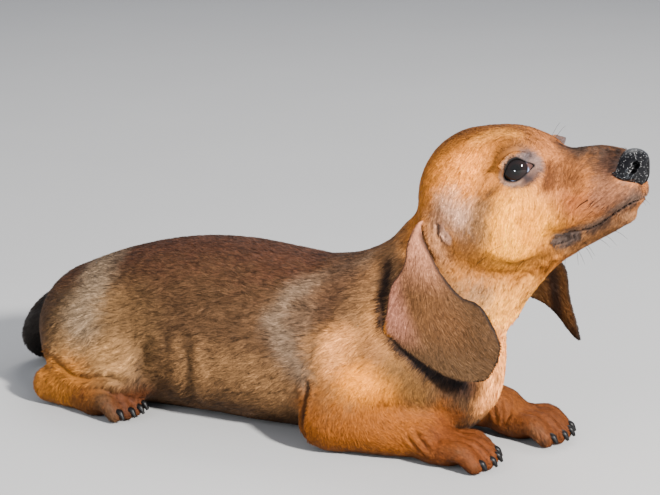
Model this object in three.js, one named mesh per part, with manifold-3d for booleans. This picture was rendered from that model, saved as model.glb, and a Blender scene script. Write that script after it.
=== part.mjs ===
// A smooth-haired dachshund puppy, lying down with its head raised, at life size.
// Millimetres. +X runs towards the nose, +Y to the dog's left, +Z up, and the floor is z = 0.
import * as THREE from "three";
import { mergeVertices } from "three/addons/utils/BufferGeometryUtils.js";
import Module from "manifold-3d";

const wasm = await Module();
wasm.setup();

// Driving dimensions
const CELL = 1.6; // spacing of the modelling grid
const FINE_CELL = 1.1;
const GAP = 0.3; // between touching parts
const SKULL = [77, 0, 125]; // centre of the cranium
const MUZZLE_PITCH = 3; // degrees that the bridge of the nose rises
const EYE = { at: [23.2, 17.2, 21], radius: 8.6, yaw: 62, opening: [7.6, 6.3] };
const EAR_THICKNESS = 3;
const PAW_TOES = [-0.95, -0.33, 0.33, 0.95]; // across the paw, as shares of its half width
const CLAW = { radius: 1.9, length: 5.2 };

const SIDES = { right: -1, left: 1 };

// Small mathematics
const clamp = (v, low, high) => Math.min(high, Math.max(low, v));
const mix = (a, b, t) => a + (b - a) * t;
const radians = (degrees) => (degrees * Math.PI) / 180;

function smoothLeast(a, b, k) {
  const h = Math.max(k - Math.abs(a - b), 0);
  return Math.min(a, b) - (h * h) / (4 * k);
}

const smoothMost = (a, b, k) => -smoothLeast(-a, -b, k);

// A smooth curve through rows of numbers, as more rows.
function smoothRows(rows, steps) {
  const made = [];
  const at = (i) => rows[clamp(i, 0, rows.length - 1)];
  for (let i = 0; i < rows.length - 1; i++) {
    for (let s = 0; s < steps; s++) {
      const t = s / steps;
      made.push(
        rows[i].map((_, n) => {
          const [a, b, c, d] = [at(i - 1)[n], at(i)[n], at(i + 1)[n], at(i + 2)[n]];
          const bend = 2 * a - 5 * b + 4 * c - d;
          return 0.5 * (2 * b + (c - a) * t + bend * t * t + (3 * b - a - 3 * c + d) * t ** 3);
        }),
      );
    }
  }
  made.push(rows.at(-1));
  return made;
}

// Forms: each has the box that holds it and far(x, y, z), the distance to its surface.

// An ellipsoid, turned about its centre by yaw, pitch and roll in degrees.
function egg(centre, radii, turn = [0, 0, 0]) {
  const [yaw, pitch, roll] = turn.map(radians);
  const matrix = new THREE.Matrix4().makeRotationFromEuler(new THREE.Euler(roll, -pitch, yaw, "ZYX"));
  const m = matrix.clone().transpose().elements;
  const reach = Math.max(...radii);
  const [a, b, c] = radii;
  return {
    low: centre.map((v) => v - reach),
    high: centre.map((v) => v + reach),
    far(x, y, z) {
      const [dx, dy, dz] = [x - centre[0], y - centre[1], z - centre[2]];
      const u = m[0] * dx + m[4] * dy + m[8] * dz;
      const v = m[1] * dx + m[5] * dy + m[9] * dz;
      const w = m[2] * dx + m[6] * dy + m[10] * dz;
      const near = Math.hypot(u / a, v / b, w / c);
      const slope = Math.hypot(u / (a * a), v / (b * b), w / (c * c));
      return slope < 1e-9 ? -Math.min(a, b, c) : (near * (near - 1)) / slope;
    },
  };
}

// A round-ended limb through stops [x, y, z, radius, width]: width stretches it sideways.
function limb(stops, steps = 6) {
  const rows = smoothRows(
    stops.map(([x, y, z, r, wide = 1]) => [x, y, z, r, wide]),
    steps,
  );
  const pieces = rows.slice(1).map((b, i) => {
    const a = rows[i];
    const along = [b[0] - a[0], b[1] - a[1], b[2] - a[2]];
    const length = Math.hypot(...along);
    const flat = Math.hypot(along[0], along[1]) || 1;
    const side = length ? [-along[1] / flat, along[0] / flat, 0] : [0, 1, 0];
    return { a, b, along, square: length * length || 1, side };
  });
  const reach = Math.max(...rows.map((r) => r[3] * Math.max(1, r[4])));
  const span = (pick) => [0, 1, 2].map((n) => pick(...rows.map((r) => r[n])));
  return {
    low: span(Math.min).map((v) => v - reach),
    high: span(Math.max).map((v) => v + reach),
    far(x, y, z) {
      let least = Infinity;
      for (const { a, b, along, square, side } of pieces) {
        const [px, py, pz] = [x - a[0], y - a[1], z - a[2]];
        const t = clamp((px * along[0] + py * along[1] + pz * along[2]) / square, 0, 1);
        let dx = px - along[0] * t;
        let dy = py - along[1] * t;
        const dz = pz - along[2] * t;
        const wide = mix(a[4], b[4], t);
        const aside = (dx * side[0] + dy * side[1]) * (1 - 1 / wide);
        dx -= side[0] * aside;
        dy -= side[1] * aside;
        least = Math.min(least, Math.hypot(dx, dy, dz) - mix(a[3], b[3], t));
      }
      return least;
    },
  };
}

// A form moved by a matrix that turns and shifts.
function moved(form, matrix) {
  const back = matrix.clone().invert().elements;
  const corners = [0, 1, 2, 3, 4, 5, 6, 7].map((n) =>
    new THREE.Vector3(
      n & 1 ? form.low[0] : form.high[0],
      n & 2 ? form.low[1] : form.high[1],
      n & 4 ? form.low[2] : form.high[2],
    ).applyMatrix4(matrix),
  );
  const box = new THREE.Box3().setFromPoints(corners);
  return {
    low: box.min.toArray(),
    high: box.max.toArray(),
    far: (x, y, z) =>
      form.far(
        back[0] * x + back[4] * y + back[8] * z + back[12],
        back[1] * x + back[5] * y + back[9] * z + back[13],
        back[2] * x + back[6] * y + back[10] * z + back[14],
      ),
  };
}

// A place in the body: a point with a heading, a pitch and a roll, in degrees.
function place(at, yaw = 0, pitch = 0, roll = 0) {
  const turn = new THREE.Euler(radians(roll), -radians(pitch), radians(yaw), "ZYX");
  return new THREE.Matrix4().makeRotationFromEuler(turn).setPosition(...at);
}

const mirrored = (p) => [p[0], -p[1], ...p.slice(2)];
const onSide = (side, rows) => rows.map((r) => (side < 0 ? mirrored(r) : r));

// Clay: a grid of distances that forms are pressed into.
class Clay {
  constructor(low, high, cell) {
    this.low = low;
    this.cell = cell;
    this.size = low.map((v, n) => Math.ceil((high[n] - v) / cell) + 1);
    this.field = new Float32Array(this.size[0] * this.size[1] * this.size[2]).fill(1e3);
  }

  press(form, margin, join) {
    const { low, cell, size, field } = this;
    const first = form.low.map((v, n) => clamp(Math.floor((v - margin - low[n]) / cell), 0, size[n]));
    const last = form.high.map((v, n) => clamp(Math.ceil((v + margin - low[n]) / cell) + 1, 0, size[n]));
    for (let k = first[2]; k < last[2]; k++) {
      for (let j = first[1]; j < last[1]; j++) {
        for (let i = first[0]; i < last[0]; i++) {
          const n = i + size[0] * (j + size[1] * k);
          field[n] = join(field[n], form.far(low[0] + i * cell, low[1] + j * cell, low[2] + k * cell));
        }
      }
    }
    return this;
  }

  add(form, blend) {
    return this.press(form, blend + 2 * this.cell, (a, b) => smoothLeast(a, b, blend));
  }

  carve(form, blend) {
    return this.press(form, blend + 2 * this.cell, (a, b) => smoothMost(a, -b, blend));
  }

  // The surface, by marching tetrahedra: six fill each cube, round the diagonal from corner 0 to 7.
  surface() {
    const { low, cell, size, field } = this;
    const corners = [0, 1, 2, 3, 4, 5, 6, 7];
    const step = corners.map((n) => (n & 1) + size[0] * (((n >> 1) & 1) + size[1] * (n >> 2)));
    const orders = [
      [1, 2, 4, 1],
      [1, 4, 2, -1],
      [2, 1, 4, -1],
      [2, 4, 1, 1],
      [4, 1, 2, 1],
      [4, 2, 1, -1],
    ];
    const tetrahedra = orders.map(([a, b, , sign]) => ({ corners: [0, a, a | b, 7], sign }));
    const points = [];
    const faces = [];
    const seen = new Map();
    const crossing = (base, c, d) => {
      const [from, to] = c < d ? [c, d] : [d, c];
      const start = base + step[from];
      const key = start * 8 + (to ^ from);
      if (!seen.has(key)) {
        const [f, g] = [field[start], field[base + step[to]]];
        const t = clamp(f / (f - g), 0.04, 0.96);
        const i = start % size[0];
        const j = Math.floor(start / size[0]) % size[1];
        const k = Math.floor(start / (size[0] * size[1]));
        const along = to ^ from;
        seen.set(key, points.length / 3);
        points.push(
          low[0] + cell * (i + (along & 1) * t),
          low[1] + cell * (j + ((along >> 1) & 1) * t),
          low[2] + cell * (k + (along >> 2) * t),
        );
      }
      return seen.get(key);
    };
    const face = (a, b, c, sign) => (sign > 0 ? faces.push(a, b, c) : faces.push(a, c, b));
    for (let k = 0; k < size[2] - 1; k++) {
      for (let j = 0; j < size[1] - 1; j++) {
        for (let i = 0; i < size[0] - 1; i++) {
          const base = i + size[0] * (j + size[1] * k);
          let inside = 0;
          for (let n = 0; n < 8; n++) inside += field[base + step[n]] < 0 ? 1 : 0;
          if (inside === 0 || inside === 8) continue;
          for (const { corners, sign } of tetrahedra) {
            const filled = corners.filter((c) => field[base + step[c]] < 0);
            if (filled.length === 0 || filled.length === 4) continue;
            const empty = corners.filter((c) => !filled.includes(c));
            if (filled.length === 2) {
              const order = [...filled, ...empty].map((c) => corners.indexOf(c));
              const way = sign * parity(order);
              const [a, b] = filled;
              const [c, d] = empty;
              const [first, third] = [crossing(base, a, c), crossing(base, b, d)];
              face(first, crossing(base, a, d), third, way);
              face(first, third, crossing(base, b, c), way);
            } else {
              const [alone, others] = filled.length === 1 ? [filled[0], empty] : [empty[0], filled];
              const order = [alone, ...others].map((c) => corners.indexOf(c));
              const way = sign * parity(order) * (filled.length === 1 ? 1 : -1);
              face(...others.map((c) => crossing(base, alone, c)), way);
            }
          }
        }
      }
    }
    return { points, faces };
  }
}

function parity(order) {
  let sign = 1;
  for (let i = 0; i < order.length; i++) {
    for (let j = i + 1; j < order.length; j++) if (order[i] > order[j]) sign = -sign;
  }
  return sign;
}

// Thins a closed mesh to about a number of faces. Each pass collapses the edges whose planes they would
// leave least, by the usual quadric error, and never two that touch. More faces stay where importance is
// high.
function thinned({ points, faces }, target, importance = () => 1) {
  const p = Float64Array.from(points);
  let tris = Int32Array.from(faces);
  const count = p.length / 3;
  const quadrics = new Float64Array(count * 10);
  const addPlane = (v, n, d, w) => {
    const q = v * 10;
    const [x, y, z] = n;
    const row = [x * x, x * y, x * z, x * d, y * y, y * z, y * d, z * z, z * d, d * d];
    for (let i = 0; i < 10; i++) quadrics[q + i] += w * row[i];
  };
  const point = (v) => new THREE.Vector3(p[3 * v], p[3 * v + 1], p[3 * v + 2]);
  for (let f = 0; f < tris.length; f += 3) {
    const [a, b, c] = [point(tris[f]), point(tris[f + 1]), point(tris[f + 2])];
    const normal = b.clone().sub(a).cross(c.sub(a));
    const area = normal.length();
    if (area < 1e-12) continue;
    normal.divideScalar(area);
    const weight = area * importance(a.x, a.y, a.z);
    for (let n = 0; n < 3; n++) addPlane(tris[f + n], normal, -normal.dot(a), weight);
  }
  const q = new Float64Array(10);
  const best = new THREE.Vector3();
  // Fills best with the place that leaves the planes of a and b least, and returns its error.
  const settle = (a, b) => {
    for (let i = 0; i < 10; i++) q[i] = quadrics[a * 10 + i] + quadrics[b * 10 + i];
    const pull = 2e-3 * (q[0] + q[4] + q[7]) + 1e-9; // towards the middle, where the planes leave a choice
    const [xx, xy, xz, yy, yz, zz] = [q[0] + pull, q[1], q[2], q[4] + pull, q[5], q[7] + pull];
    const rx = (pull * (p[3 * a] + p[3 * b])) / 2 - q[3];
    const ry = (pull * (p[3 * a + 1] + p[3 * b + 1])) / 2 - q[6];
    const rz = (pull * (p[3 * a + 2] + p[3 * b + 2])) / 2 - q[8];
    const [ca, cb, cc] = [yy * zz - yz * yz, xz * yz - xy * zz, xy * yz - xz * yy];
    const whole = xx * ca + xy * cb + xz * cc;
    const x = (rx * ca + ry * cb + rz * cc) / whole;
    const y = (rx * cb + ry * (xx * zz - xz * xz) + rz * (xy * xz - xx * yz)) / whole;
    const z = (rx * cc + ry * (xy * xz - xx * yz) + rz * (xx * yy - xy * xy)) / whole;
    best.set(x, y, z);
    const squares = q[0] * x * x + q[4] * y * y + q[7] * z * z + q[9];
    const mixed = q[1] * x * y + q[2] * x * z + q[5] * y * z;
    return Math.max(0, squares + 2 * (mixed + q[3] * x + q[6] * y + q[8] * z));
  };
  while (tris.length / 3 > target) {
    const around = Array.from({ length: count }, () => []);
    for (let f = 0; f < tris.length; f += 3) for (let n = 0; n < 3; n++) around[tris[f + n]].push(f);
    const edges = [];
    for (let f = 0; f < tris.length; f += 3) {
      for (let n = 0; n < 3; n++) {
        const [a, b] = [tris[f + n], tris[f + ((n + 1) % 3)]];
        if (a < b) {
          const cost = settle(a, b);
          const length = point(a).distanceTo(point(b));
          edges.push([cost + 1e-5 * length, a, b]);
        }
      }
    }
    edges.sort((x, y) => x[0] - y[0]);
    edges.length = Math.ceil(edges.length * 0.3);
    const locked = new Uint8Array(count);
    const dead = new Uint8Array(tris.length);
    const spare = tris.length / 3 - target;
    const most = Math.max(1, spare / 2);
    let done = 0;
    const neighbours = (v) => {
      const found = new Set();
      for (const f of around[v]) for (let n = 0; n < 3; n++) if (tris[f + n] !== v) found.add(tris[f + n]);
      return found;
    };
    const flips = (v, other) =>
      around[v].some((f) => {
        const corners = [tris[f], tris[f + 1], tris[f + 2]];
        if (corners.includes(other)) return false;
        const old = corners.map(point);
        const now = corners.map((c) => (c === v ? best : point(c)));
        const before = old[1].clone().sub(old[0]).cross(old[2].clone().sub(old[0])).normalize();
        const edge = now[1].clone().sub(now[0]);
        const after = edge.clone().cross(now[2].clone().sub(now[0]));
        const others = [0, 1].map((n) => now[2].distanceToSquared(now[n]));
        const longest = Math.max(edge.lengthSq(), ...others);
        return after.length() < 0.06 * longest || before.dot(after.normalize()) < 0.35;
      });
    for (const [, a, b] of edges) {
      if (done >= most) break;
      if (locked[a] || locked[b]) continue;
      const [na, nb] = [neighbours(a), neighbours(b)];
      const shared = [...na].filter((v) => nb.has(v));
      if (shared.length !== 2) continue;
      settle(a, b);
      if (flips(a, b) || flips(b, a)) continue;
      for (const v of [a, b, ...na, ...nb]) locked[v] = 1;
      best.toArray(p, 3 * a);
      quadrics.set(q, a * 10);
      for (const f of around[b]) {
        const hasBoth = [tris[f], tris[f + 1], tris[f + 2]].includes(a);
        if (hasBoth) dead[f] = 1;
        else for (let n = 0; n < 3; n++) if (tris[f + n] === b) tris[f + n] = a;
      }
      done++;
    }
    if (!done) break;
    const kept = [];
    for (let f = 0; f < tris.length; f += 3) if (!dead[f]) kept.push(tris[f], tris[f + 1], tris[f + 2]);
    tris = Int32Array.from(kept);
  }
  return { points: p, faces: tris };
}

// Solids
function solidOf({ points, faces }) {
  const used = new Map();
  const triVerts = Uint32Array.from(faces, (v) => used.get(v) ?? used.set(v, used.size).get(v));
  const vertProperties = new Float32Array(used.size * 3);
  for (const [from, to] of used) {
    for (let n = 0; n < 3; n++) vertProperties[3 * to + n] = points[3 * from + n];
  }
  return new wasm.Manifold(new wasm.Mesh({ numProp: 3, vertProperties, triVerts }));
}

function solidFrom(geometry, matrix = new THREE.Matrix4()) {
  const bare = geometry.index ? geometry.toNonIndexed() : geometry.clone();
  bare.deleteAttribute("normal");
  bare.deleteAttribute("uv");
  const merged = mergeVertices(bare.applyMatrix4(matrix), 1e-4);
  const vertProperties = Float32Array.from(merged.attributes.position.array);
  const triVerts = Uint32Array.from(merged.index.array);
  return new wasm.Manifold(new wasm.Mesh({ numProp: 3, vertProperties, triVerts }));
}

function geometryOf(solid) {
  const mesh = solid.getMesh();
  const geometry = new THREE.BufferGeometry();
  geometry.setAttribute("position", new THREE.BufferAttribute(mesh.vertProperties, 3));
  geometry.setIndex(new THREE.BufferAttribute(mesh.triVerts, 1));
  geometry.computeVertexNormals();
  return geometry;
}

// The same solid with its surface moved out.
function grown(solid, distance) {
  const geometry = geometryOf(solid);
  const { position, normal } = geometry.attributes;
  for (let i = 0; i < position.array.length; i++) position.array[i] += normal.array[i] * distance;
  return new wasm.Manifold(
    new wasm.Mesh({ numProp: 3, vertProperties: position.array, triVerts: geometry.index.array }),
  );
}

const largest = (solid) => solid.decompose().sort((a, b) => b.volume() - a.volume())[0];

// Forms pressed together in their own clay, as a solid with about a number of faces.
function modelled(forms, blend, cell, faces) {
  const pad = 2 * cell + 1;
  const low = [0, 1, 2].map((n) => Math.min(...forms.map((f) => f.low[n])) - pad);
  const high = [0, 1, 2].map((n) => Math.max(...forms.map((f) => f.high[n])) + pad);
  const clay = new Clay(low, high, cell);
  for (const form of forms) clay.add(form, blend);
  return solidOf(thinned(clay.surface(), faces));
}

// Everything past a plane, as a block that is far wider than the dog.
function beyond(point, normal, shift = 0) {
  const size = 600;
  const up = new THREE.Vector3(...normal).normalize();
  const turn = new THREE.Quaternion().setFromUnitVectors(new THREE.Vector3(0, 0, 1), up);
  const centre = new THREE.Vector3(...point).addScaledVector(up, size / 2 + shift);
  const matrix = new THREE.Matrix4().compose(centre, turn, new THREE.Vector3(1, 1, 1));
  return solidFrom(new THREE.BoxGeometry(size, size, size), matrix);
}

function ball(centre, radii, grow = 0, detail = 3) {
  const matrix = new THREE.Matrix4().makeTranslation(...centre);
  matrix.scale(new THREE.Vector3(...radii.map((r) => r + grow)));
  return solidFrom(new THREE.IcosahedronGeometry(1, detail), matrix);
}

// The two parts of a solid: what is inside a tool, and what is outside it, with the gap between them.
function parted(solid, tool) {
  return [largest(solid.intersect(tool(0))), largest(solid.subtract(tool(GAP)))];
}

// The head, in its own frame: the centre of the cranium is 0, 0, 0 and the bridge of the nose runs along x.
// Limbs are rows of x, y, z, radius and width.
const MUZZLE = [
  [22, 0, 11, 17, 0.86],
  [42, 0, 13.5, 14.8, 0.85],
  [58, 0, 17, 13.4, 0.82],
  [66, 0, 17.6, 12, 0.86],
];
const JAW = [
  [4, 0, -14, 17, 1.15],
  [30, 0, -15.5, 12.5, 1.2],
  [46, 0, -11.5, 8.4, 1.2],
  [60, 0, -5.6, 6.7, 1.25],
  [69.4, 0, -0.6, 6, 1.3],
];
const UPPER_LIP = [
  [30, 12, -2, 9.5],
  [46, 9, 1, 9],
  [60, 6.6, 6.6, 8],
  [73, 4.3, 9.6, 6.6],
];
const UPPER_LID = [
  [6.4, 7, 5.2, 1.2],
  [6, 0, 7.1, 1.3],
  [6.4, -7.5, 4.6, 1.2],
];
const NOSTRIL = [
  [78.4, 7.4, 23.4, 2],
  [77.4, 8.6, 20.8, 1.7],
  [74, 10.2, 18.6, 1],
];
const NOSE_CLEFT = [
  [81.4, 0, 22.6, 1.1],
  [81, 0, 16.4, 1.2],
  [78.5, 0, 10, 1.2],
];
// The ear's root and the cup before it, in the dog's frame
const EAR_ROOT = [
  [54.5, 15.5, 121, 5],
  [56, 19.5, 114, 5.2],
  [60, 23.5, 106, 4],
];
const EAR_CUP = [
  [63, 28, 117, 2.4],
  [65, 29, 112, 2.8],
  [64, 30, 106, 2],
];
const head = place(SKULL, 0, MUZZLE_PITCH);

function headForms(clay) {
  const put = (form, blend) => clay.add(moved(form, head), blend);
  put(egg([0, 0, 1], [35.2, 29, 36]), 8);
  put(egg([17, 0, 11], [25, 22.5, 26.4]), 9);
  put(limb(MUZZLE), 9);
  put(limb(JAW), 7);
  put(egg([71.8, 0, 3.6], [3.9, 6, 3.4]), 3);
  for (const side of Object.values(SIDES)) {
    put(egg([23, side * 12, 24], [10, 8.5, 7]), 6);
    put(egg([12, side * 19, -6], [21, 10, 20]), 9);
    put(limb(onSide(side, UPPER_LIP)), 5);
    const eye = EYE.at.map((v, n) => (n === 1 ? side * v : v));
    put(egg(eye, [9.8, 9.8, 9.8]), 3);
    put(limb(UPPER_LID.map(([out, forward, up, r]) => [...eyeFront(side, out, forward, up), r])), 3);
    clay.add(limb(onSide(side, EAR_ROOT)), 6);
    clay.carve(limb(onSide(side, EAR_CUP)), 3);
  }
}

// A point in the head frame before an eye: out along the gaze, then forward along the lids, then up.
function eyeFront(side, out, forward, up) {
  const gaze = radians(EYE.yaw);
  const tilt = radians(18);
  const lid = forward * Math.cos(tilt) - up * Math.sin(tilt);
  const rise = forward * Math.sin(tilt) + up * Math.cos(tilt);
  return [
    EYE.at[0] + out * Math.cos(gaze) + lid * Math.sin(gaze),
    side * (EYE.at[1] + out * Math.sin(gaze) - lid * Math.cos(gaze)),
    EYE.at[2] + rise,
  ];
}

const NOSE = [
  egg([72.8, 0, 19.6], [7.6, 9.4, 8], [0, -8, 0]),
  egg([69.4, 0, 18.4], [4.4, 9.6, 3.4]),
  egg([74.2, 4.4, 20.6], [5.2, 5, 5.6]),
  egg([74.2, -4.4, 20.6], [5.2, 5, 5.6]),
  egg([74.8, 0, 24.2], [6.2, 6.8, 5]),
  egg([74.8, 0, 17], [6.2, 5.2, 5.6]),
];

function noseSolid() {
  const clay = new Clay([134, -16, 128], [166, 16, 166], 0.9);
  for (const form of NOSE) clay.add(moved(form, head), 3);
  for (const side of Object.values(SIDES)) {
    clay.carve(moved(limb(onSide(side, NOSTRIL)), head), 1);
  }
  clay.carve(moved(limb(NOSE_CLEFT), head), 1);
  return solidOf(thinned(clay.surface(), 560));
}

// The trunk and the neck, as rows of x, y, z, radius and width
const TRUNK = [
  [-147, 0, 32, 36, 1.04],
  [-120, 0, 37, 42, 1.0],
  [-92, 0, 42, 45, 1.02],
  [-66, 0, 44, 46, 1.05],
  [-38, 0, 43.4, 45.5, 1.05],
  [-8, 0, 43, 44, 1.0],
  [22, 0, 43, 41, 0.95],
];
const NECK = [
  [76, 0, 106, 25, 0.95],
  [66, 0, 91, 29, 0.92],
  [50, 0, 73, 33, 0.9],
  [32, 0, 56, 38, 0.88],
];
const NAPE = [
  [47, 0, 112, 7.5, 1.5],
  [41, 0, 106.5, 8, 1.6],
  [31, 0, 94.5, 8.2, 1.8],
  [14, 0, 83.5, 8.6, 1.8],
  [-4, 0, 78, 8, 1.8],
];
const THROAT = [
  [105, 0, 104, 9],
  [91, 0, 92.5, 13],
  [76, 0, 79, 17],
];
const TAIL = [
  [-164, 0, 43, 12],
  [-180, 1, 37, 10.5],
  [-193, 4, 27, 9],
  [-201, 9, 16, 8],
  [-202, 20, 8.4, 7.4],
  [-198, 38, 6.2, 6.4],
  [-186, 54, 5, 5.2],
  [-168, 66, 3.8, 4],
  [-152, 72, 2.6, 2.6],
];

function trunkForms(clay) {
  clay.add(limb(TRUNK, 4), 10);
  clay.add(limb(NECK, 4), 14);
  clay.add(egg([52, 0, 42], [33, 30, 38]), 16);
  clay.add(limb(NAPE, 4), 10);
  clay.add(limb(THROAT, 4), 9); // loose skin under the jaw
}

const FORELEG = {
  shoulder: [38, 31, 44],
  elbow: [12, 37, 16.5],
  wrist: { right: [59, -29, 13], left: [74, 27, 13] },
  heading: { right: 6, left: 0 },
};
const HIND = { knee: [-112, 39, 20], heel: [-154, 44, 9], toes: [-130, 44.5, 0], heading: 5 };
const FOREPAW = { half: 14.5, length: 34, toe: 5.4 };
const HINDPAW = { half: 12.5, length: 31, toe: 5 };

const forepawPlace = (name) => {
  const [x, y] = FORELEG.wrist[name];
  return place([x, y, 0], FORELEG.heading[name]);
};
function hindpawPlace(name) {
  const [x, y] = HIND.toes;
  return place([x, SIDES[name] * y, 0], SIDES[name] * HIND.heading);
}

function pawForms(clay, frame, { half, length, toe }) {
  const put = (form, blend) => clay.add(moved(form, frame), blend);
  put(egg([length * 0.3, 0, 8], [length * 0.42, half * 0.93, 8.8]), 6);
  for (const across of PAW_TOES) {
    const [reach, y] = toeLine(across, half, length);
    const stops = [
      [reach * 0.42, y * 0.85, 9.5, toe],
      [reach * 0.7, y, 10, toe],
      [reach * 0.93, y * 1.03, 5, toe * 0.9],
    ];
    put(limb(stops), 2);
  }
}

const toeLine = (across, half, length) => [length * (1 - 0.11 * across * across), across * half * 0.78];

function clawSolids(frame, { half, length, toe }) {
  return PAW_TOES.map((across) => {
    const [reach, y] = toeLine(across, half, length);
    const tip = reach * 0.93 + toe * 0.55;
    const { radius, length: long } = CLAW;
    const stops = [
      [tip - 1, y * 1.03, 6.4, radius],
      [tip + long * 0.4, y * 1.05, 5.6, radius * 0.8],
      [tip + long * 0.66, y * 1.06, 3.4, radius * 0.55],
    ];
    return modelled([moved(limb(stops, 4), frame)], 1, 0.62, 56);
  });
}

function forelegForms(clay, name) {
  const side = SIDES[name];
  const flip = (p) => (side < 0 ? mirrored(p) : p);
  const wrist = FORELEG.wrist[name];
  const elbow = flip(FORELEG.elbow);
  clay.add(egg(flip([34, 26, 44]), [30, 13, 33]), 13);
  clay.add(limb([[...flip(FORELEG.shoulder), 14], [...elbow, 14.5]]), 12);
  const forearm = elbow.map((v, n) => mix(v, wrist[n], 0.55));
  clay.add(limb([[...elbow, 15.5], [...forearm, 14], [...wrist, 11.3]]), 6);
  pawForms(clay, forepawPlace(name), FOREPAW);
}

function hindlegForms(clay, name) {
  const side = SIDES[name];
  const flip = (p) => (side < 0 ? mirrored(p) : p);
  clay.add(egg(flip([-130, 30, 31]), [33, 19, 29], [0, 8, 0]), 12);
  clay.add(egg(flip([-112, 38, 24]), [18, 15, 19]), 8);
  clay.add(limb(onSide(side, [[...HIND.knee, 13], [-134, 44, 15, 11], [-154, 44, 12, 8]])), 6);
  clay.add(limb(onSide(side, [[...HIND.heel, 8], [-140, 45, 8, 7.5], [-124, 45, 8, 8.5]])), 4);
  pawForms(clay, hindpawPlace(name), HINDPAW);
}

// An ear flap: a rim of [x, z] rows and a sheet that bends with them, sheet(x, z) to one side.
function flap(rim, sheet, thickness) {
  const edge = smoothRows([...rim, rim[0]], 5).slice(0, -1);
  const [xs, zs, ys] = [edge.map((r) => r[0]), edge.map((r) => r[1]), edge.map(([x, z]) => sheet(x, z))];
  return {
    low: [Math.min(...xs), Math.min(...ys) - 2 * thickness, Math.min(...zs)],
    high: [Math.max(...xs), Math.max(...ys) + 2 * thickness, Math.max(...zs)],
    far(x, y, z) {
      let least = Infinity;
      let inside = false;
      for (let i = 0; i < edge.length; i++) {
        const [ax, az] = edge[i];
        const [bx, bz] = edge[(i + 1) % edge.length];
        const [ex, ez] = [bx - ax, bz - az];
        const t = clamp(((x - ax) * ex + (z - az) * ez) / (ex * ex + ez * ez), 0, 1);
        least = Math.min(least, Math.hypot(x - ax - ex * t, z - az - ez * t));
        if (az > z !== bz > z && x < ax + (ex * (z - az)) / ez) inside = !inside;
      }
      return smoothMost(inside ? -least : least, Math.abs(y - sheet(x, z)) - thickness / 2, thickness * 0.8);
    },
  };
}

// The outlines of the ears, seen from the side: the left one is folded to a point in front
const EAR_RIM = {
  right: [
    [53.4, 118], [55, 112.5], [60.8, 105], [71.3, 93], [79, 86.3], [88.8, 82.6], [96.8, 71], [99.2, 62],
    [94.3, 48.8], [87.8, 45.9], [79, 45.6], [71.2, 47.4], [61.8, 51.9], [53.4, 57.1], [46.2, 62.6],
    [41, 65.4], [41, 78], [42.5, 88], [47.6, 97], [48.2, 109], [51, 117],
  ],
  left: [
    [55, 119], [62, 113], [76, 104], [93, 98], [105.6, 91], [108.6, 76], [114, 62], [115.5, 54.5],
    [110, 56.5], [98.5, 65], [87.6, 69.5], [75, 70.5], [64, 65.5], [54, 62.5], [46, 67.5],
    [42.5, 78], [43.5, 91], [47.5, 104], [49, 114], [51, 119],
  ],
};
const EAR_BASE_Z = 125;

function earSheet(x, z) {
  const down = EAR_BASE_Z - z;
  const drop = clamp(down / 60, 0, 1.3);
  const middle = 60 + 0.2 * down;
  const out = 19 + 20 * (1 - Math.exp(-down / 26));
  return out - 0.13 * (x - 72) * drop - 0.003 * (x - middle) ** 2;
}

function earSolid(name) {
  const side = SIDES[name];
  const form = flap(EAR_RIM[name], (x, z) => side * earSheet(x, z), EAR_THICKNESS);
  return modelled([form], 1, FINE_CELL, 600);
}

// Modelling
const clay = new Clay([-218, -70, -8], [168, 84, 168], CELL);
trunkForms(clay);
headForms(clay);
for (const name of Object.keys(SIDES)) {
  forelegForms(clay, name);
  hindlegForms(clay, name);
}
clay.add(limb(TAIL), 6);

const parts = {};
const onHead = (p) => new THREE.Vector3(...p).applyMatrix4(head).toArray();
const onFace = (x, z) => z > 98 && x > 44;
const onPaw = (x, z) => z < 24 && (x > 58 || (x < -95 && x > -165));
const importance = (x, y, z) => (onFace(x, z) ? 300 : onPaw(x, z) ? 90 : 1);
let flesh = solidOf(thinned(clay.surface(), 4300, importance));
flesh = largest(flesh.subtract(beyond([0, 0, 0], [0, 0, -1])));

for (const name of Object.keys(SIDES)) {
  parts[`ear_${name}`] = largest(earSolid(name).subtract(grown(flesh, GAP)));
}

parts.nose = noseSolid();
flesh = largest(flesh.subtract(grown(parts.nose, GAP)));

let rest;
const split = (point, normal) => (grow) => beyond(point, normal, -grow);
[parts.head, rest] = parted(flesh, split([40, 0, 113], [0.263, 0, 0.965]));
[parts.neck, rest] = parted(rest, split([2, 0, 88], [0.419, 0, 0.908]));

const tailTool = (grow) =>
  ball([-200, 10, 26], [34, 24, 36], grow)
    .add(ball([-190, 52, 6], [46, 36, 14], grow))
    .subtract(beyond([-176, 0, 40], [0.93, -0.1, 0.35], grow));
[parts.tail, rest] = parted(rest, tailTool);

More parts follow.
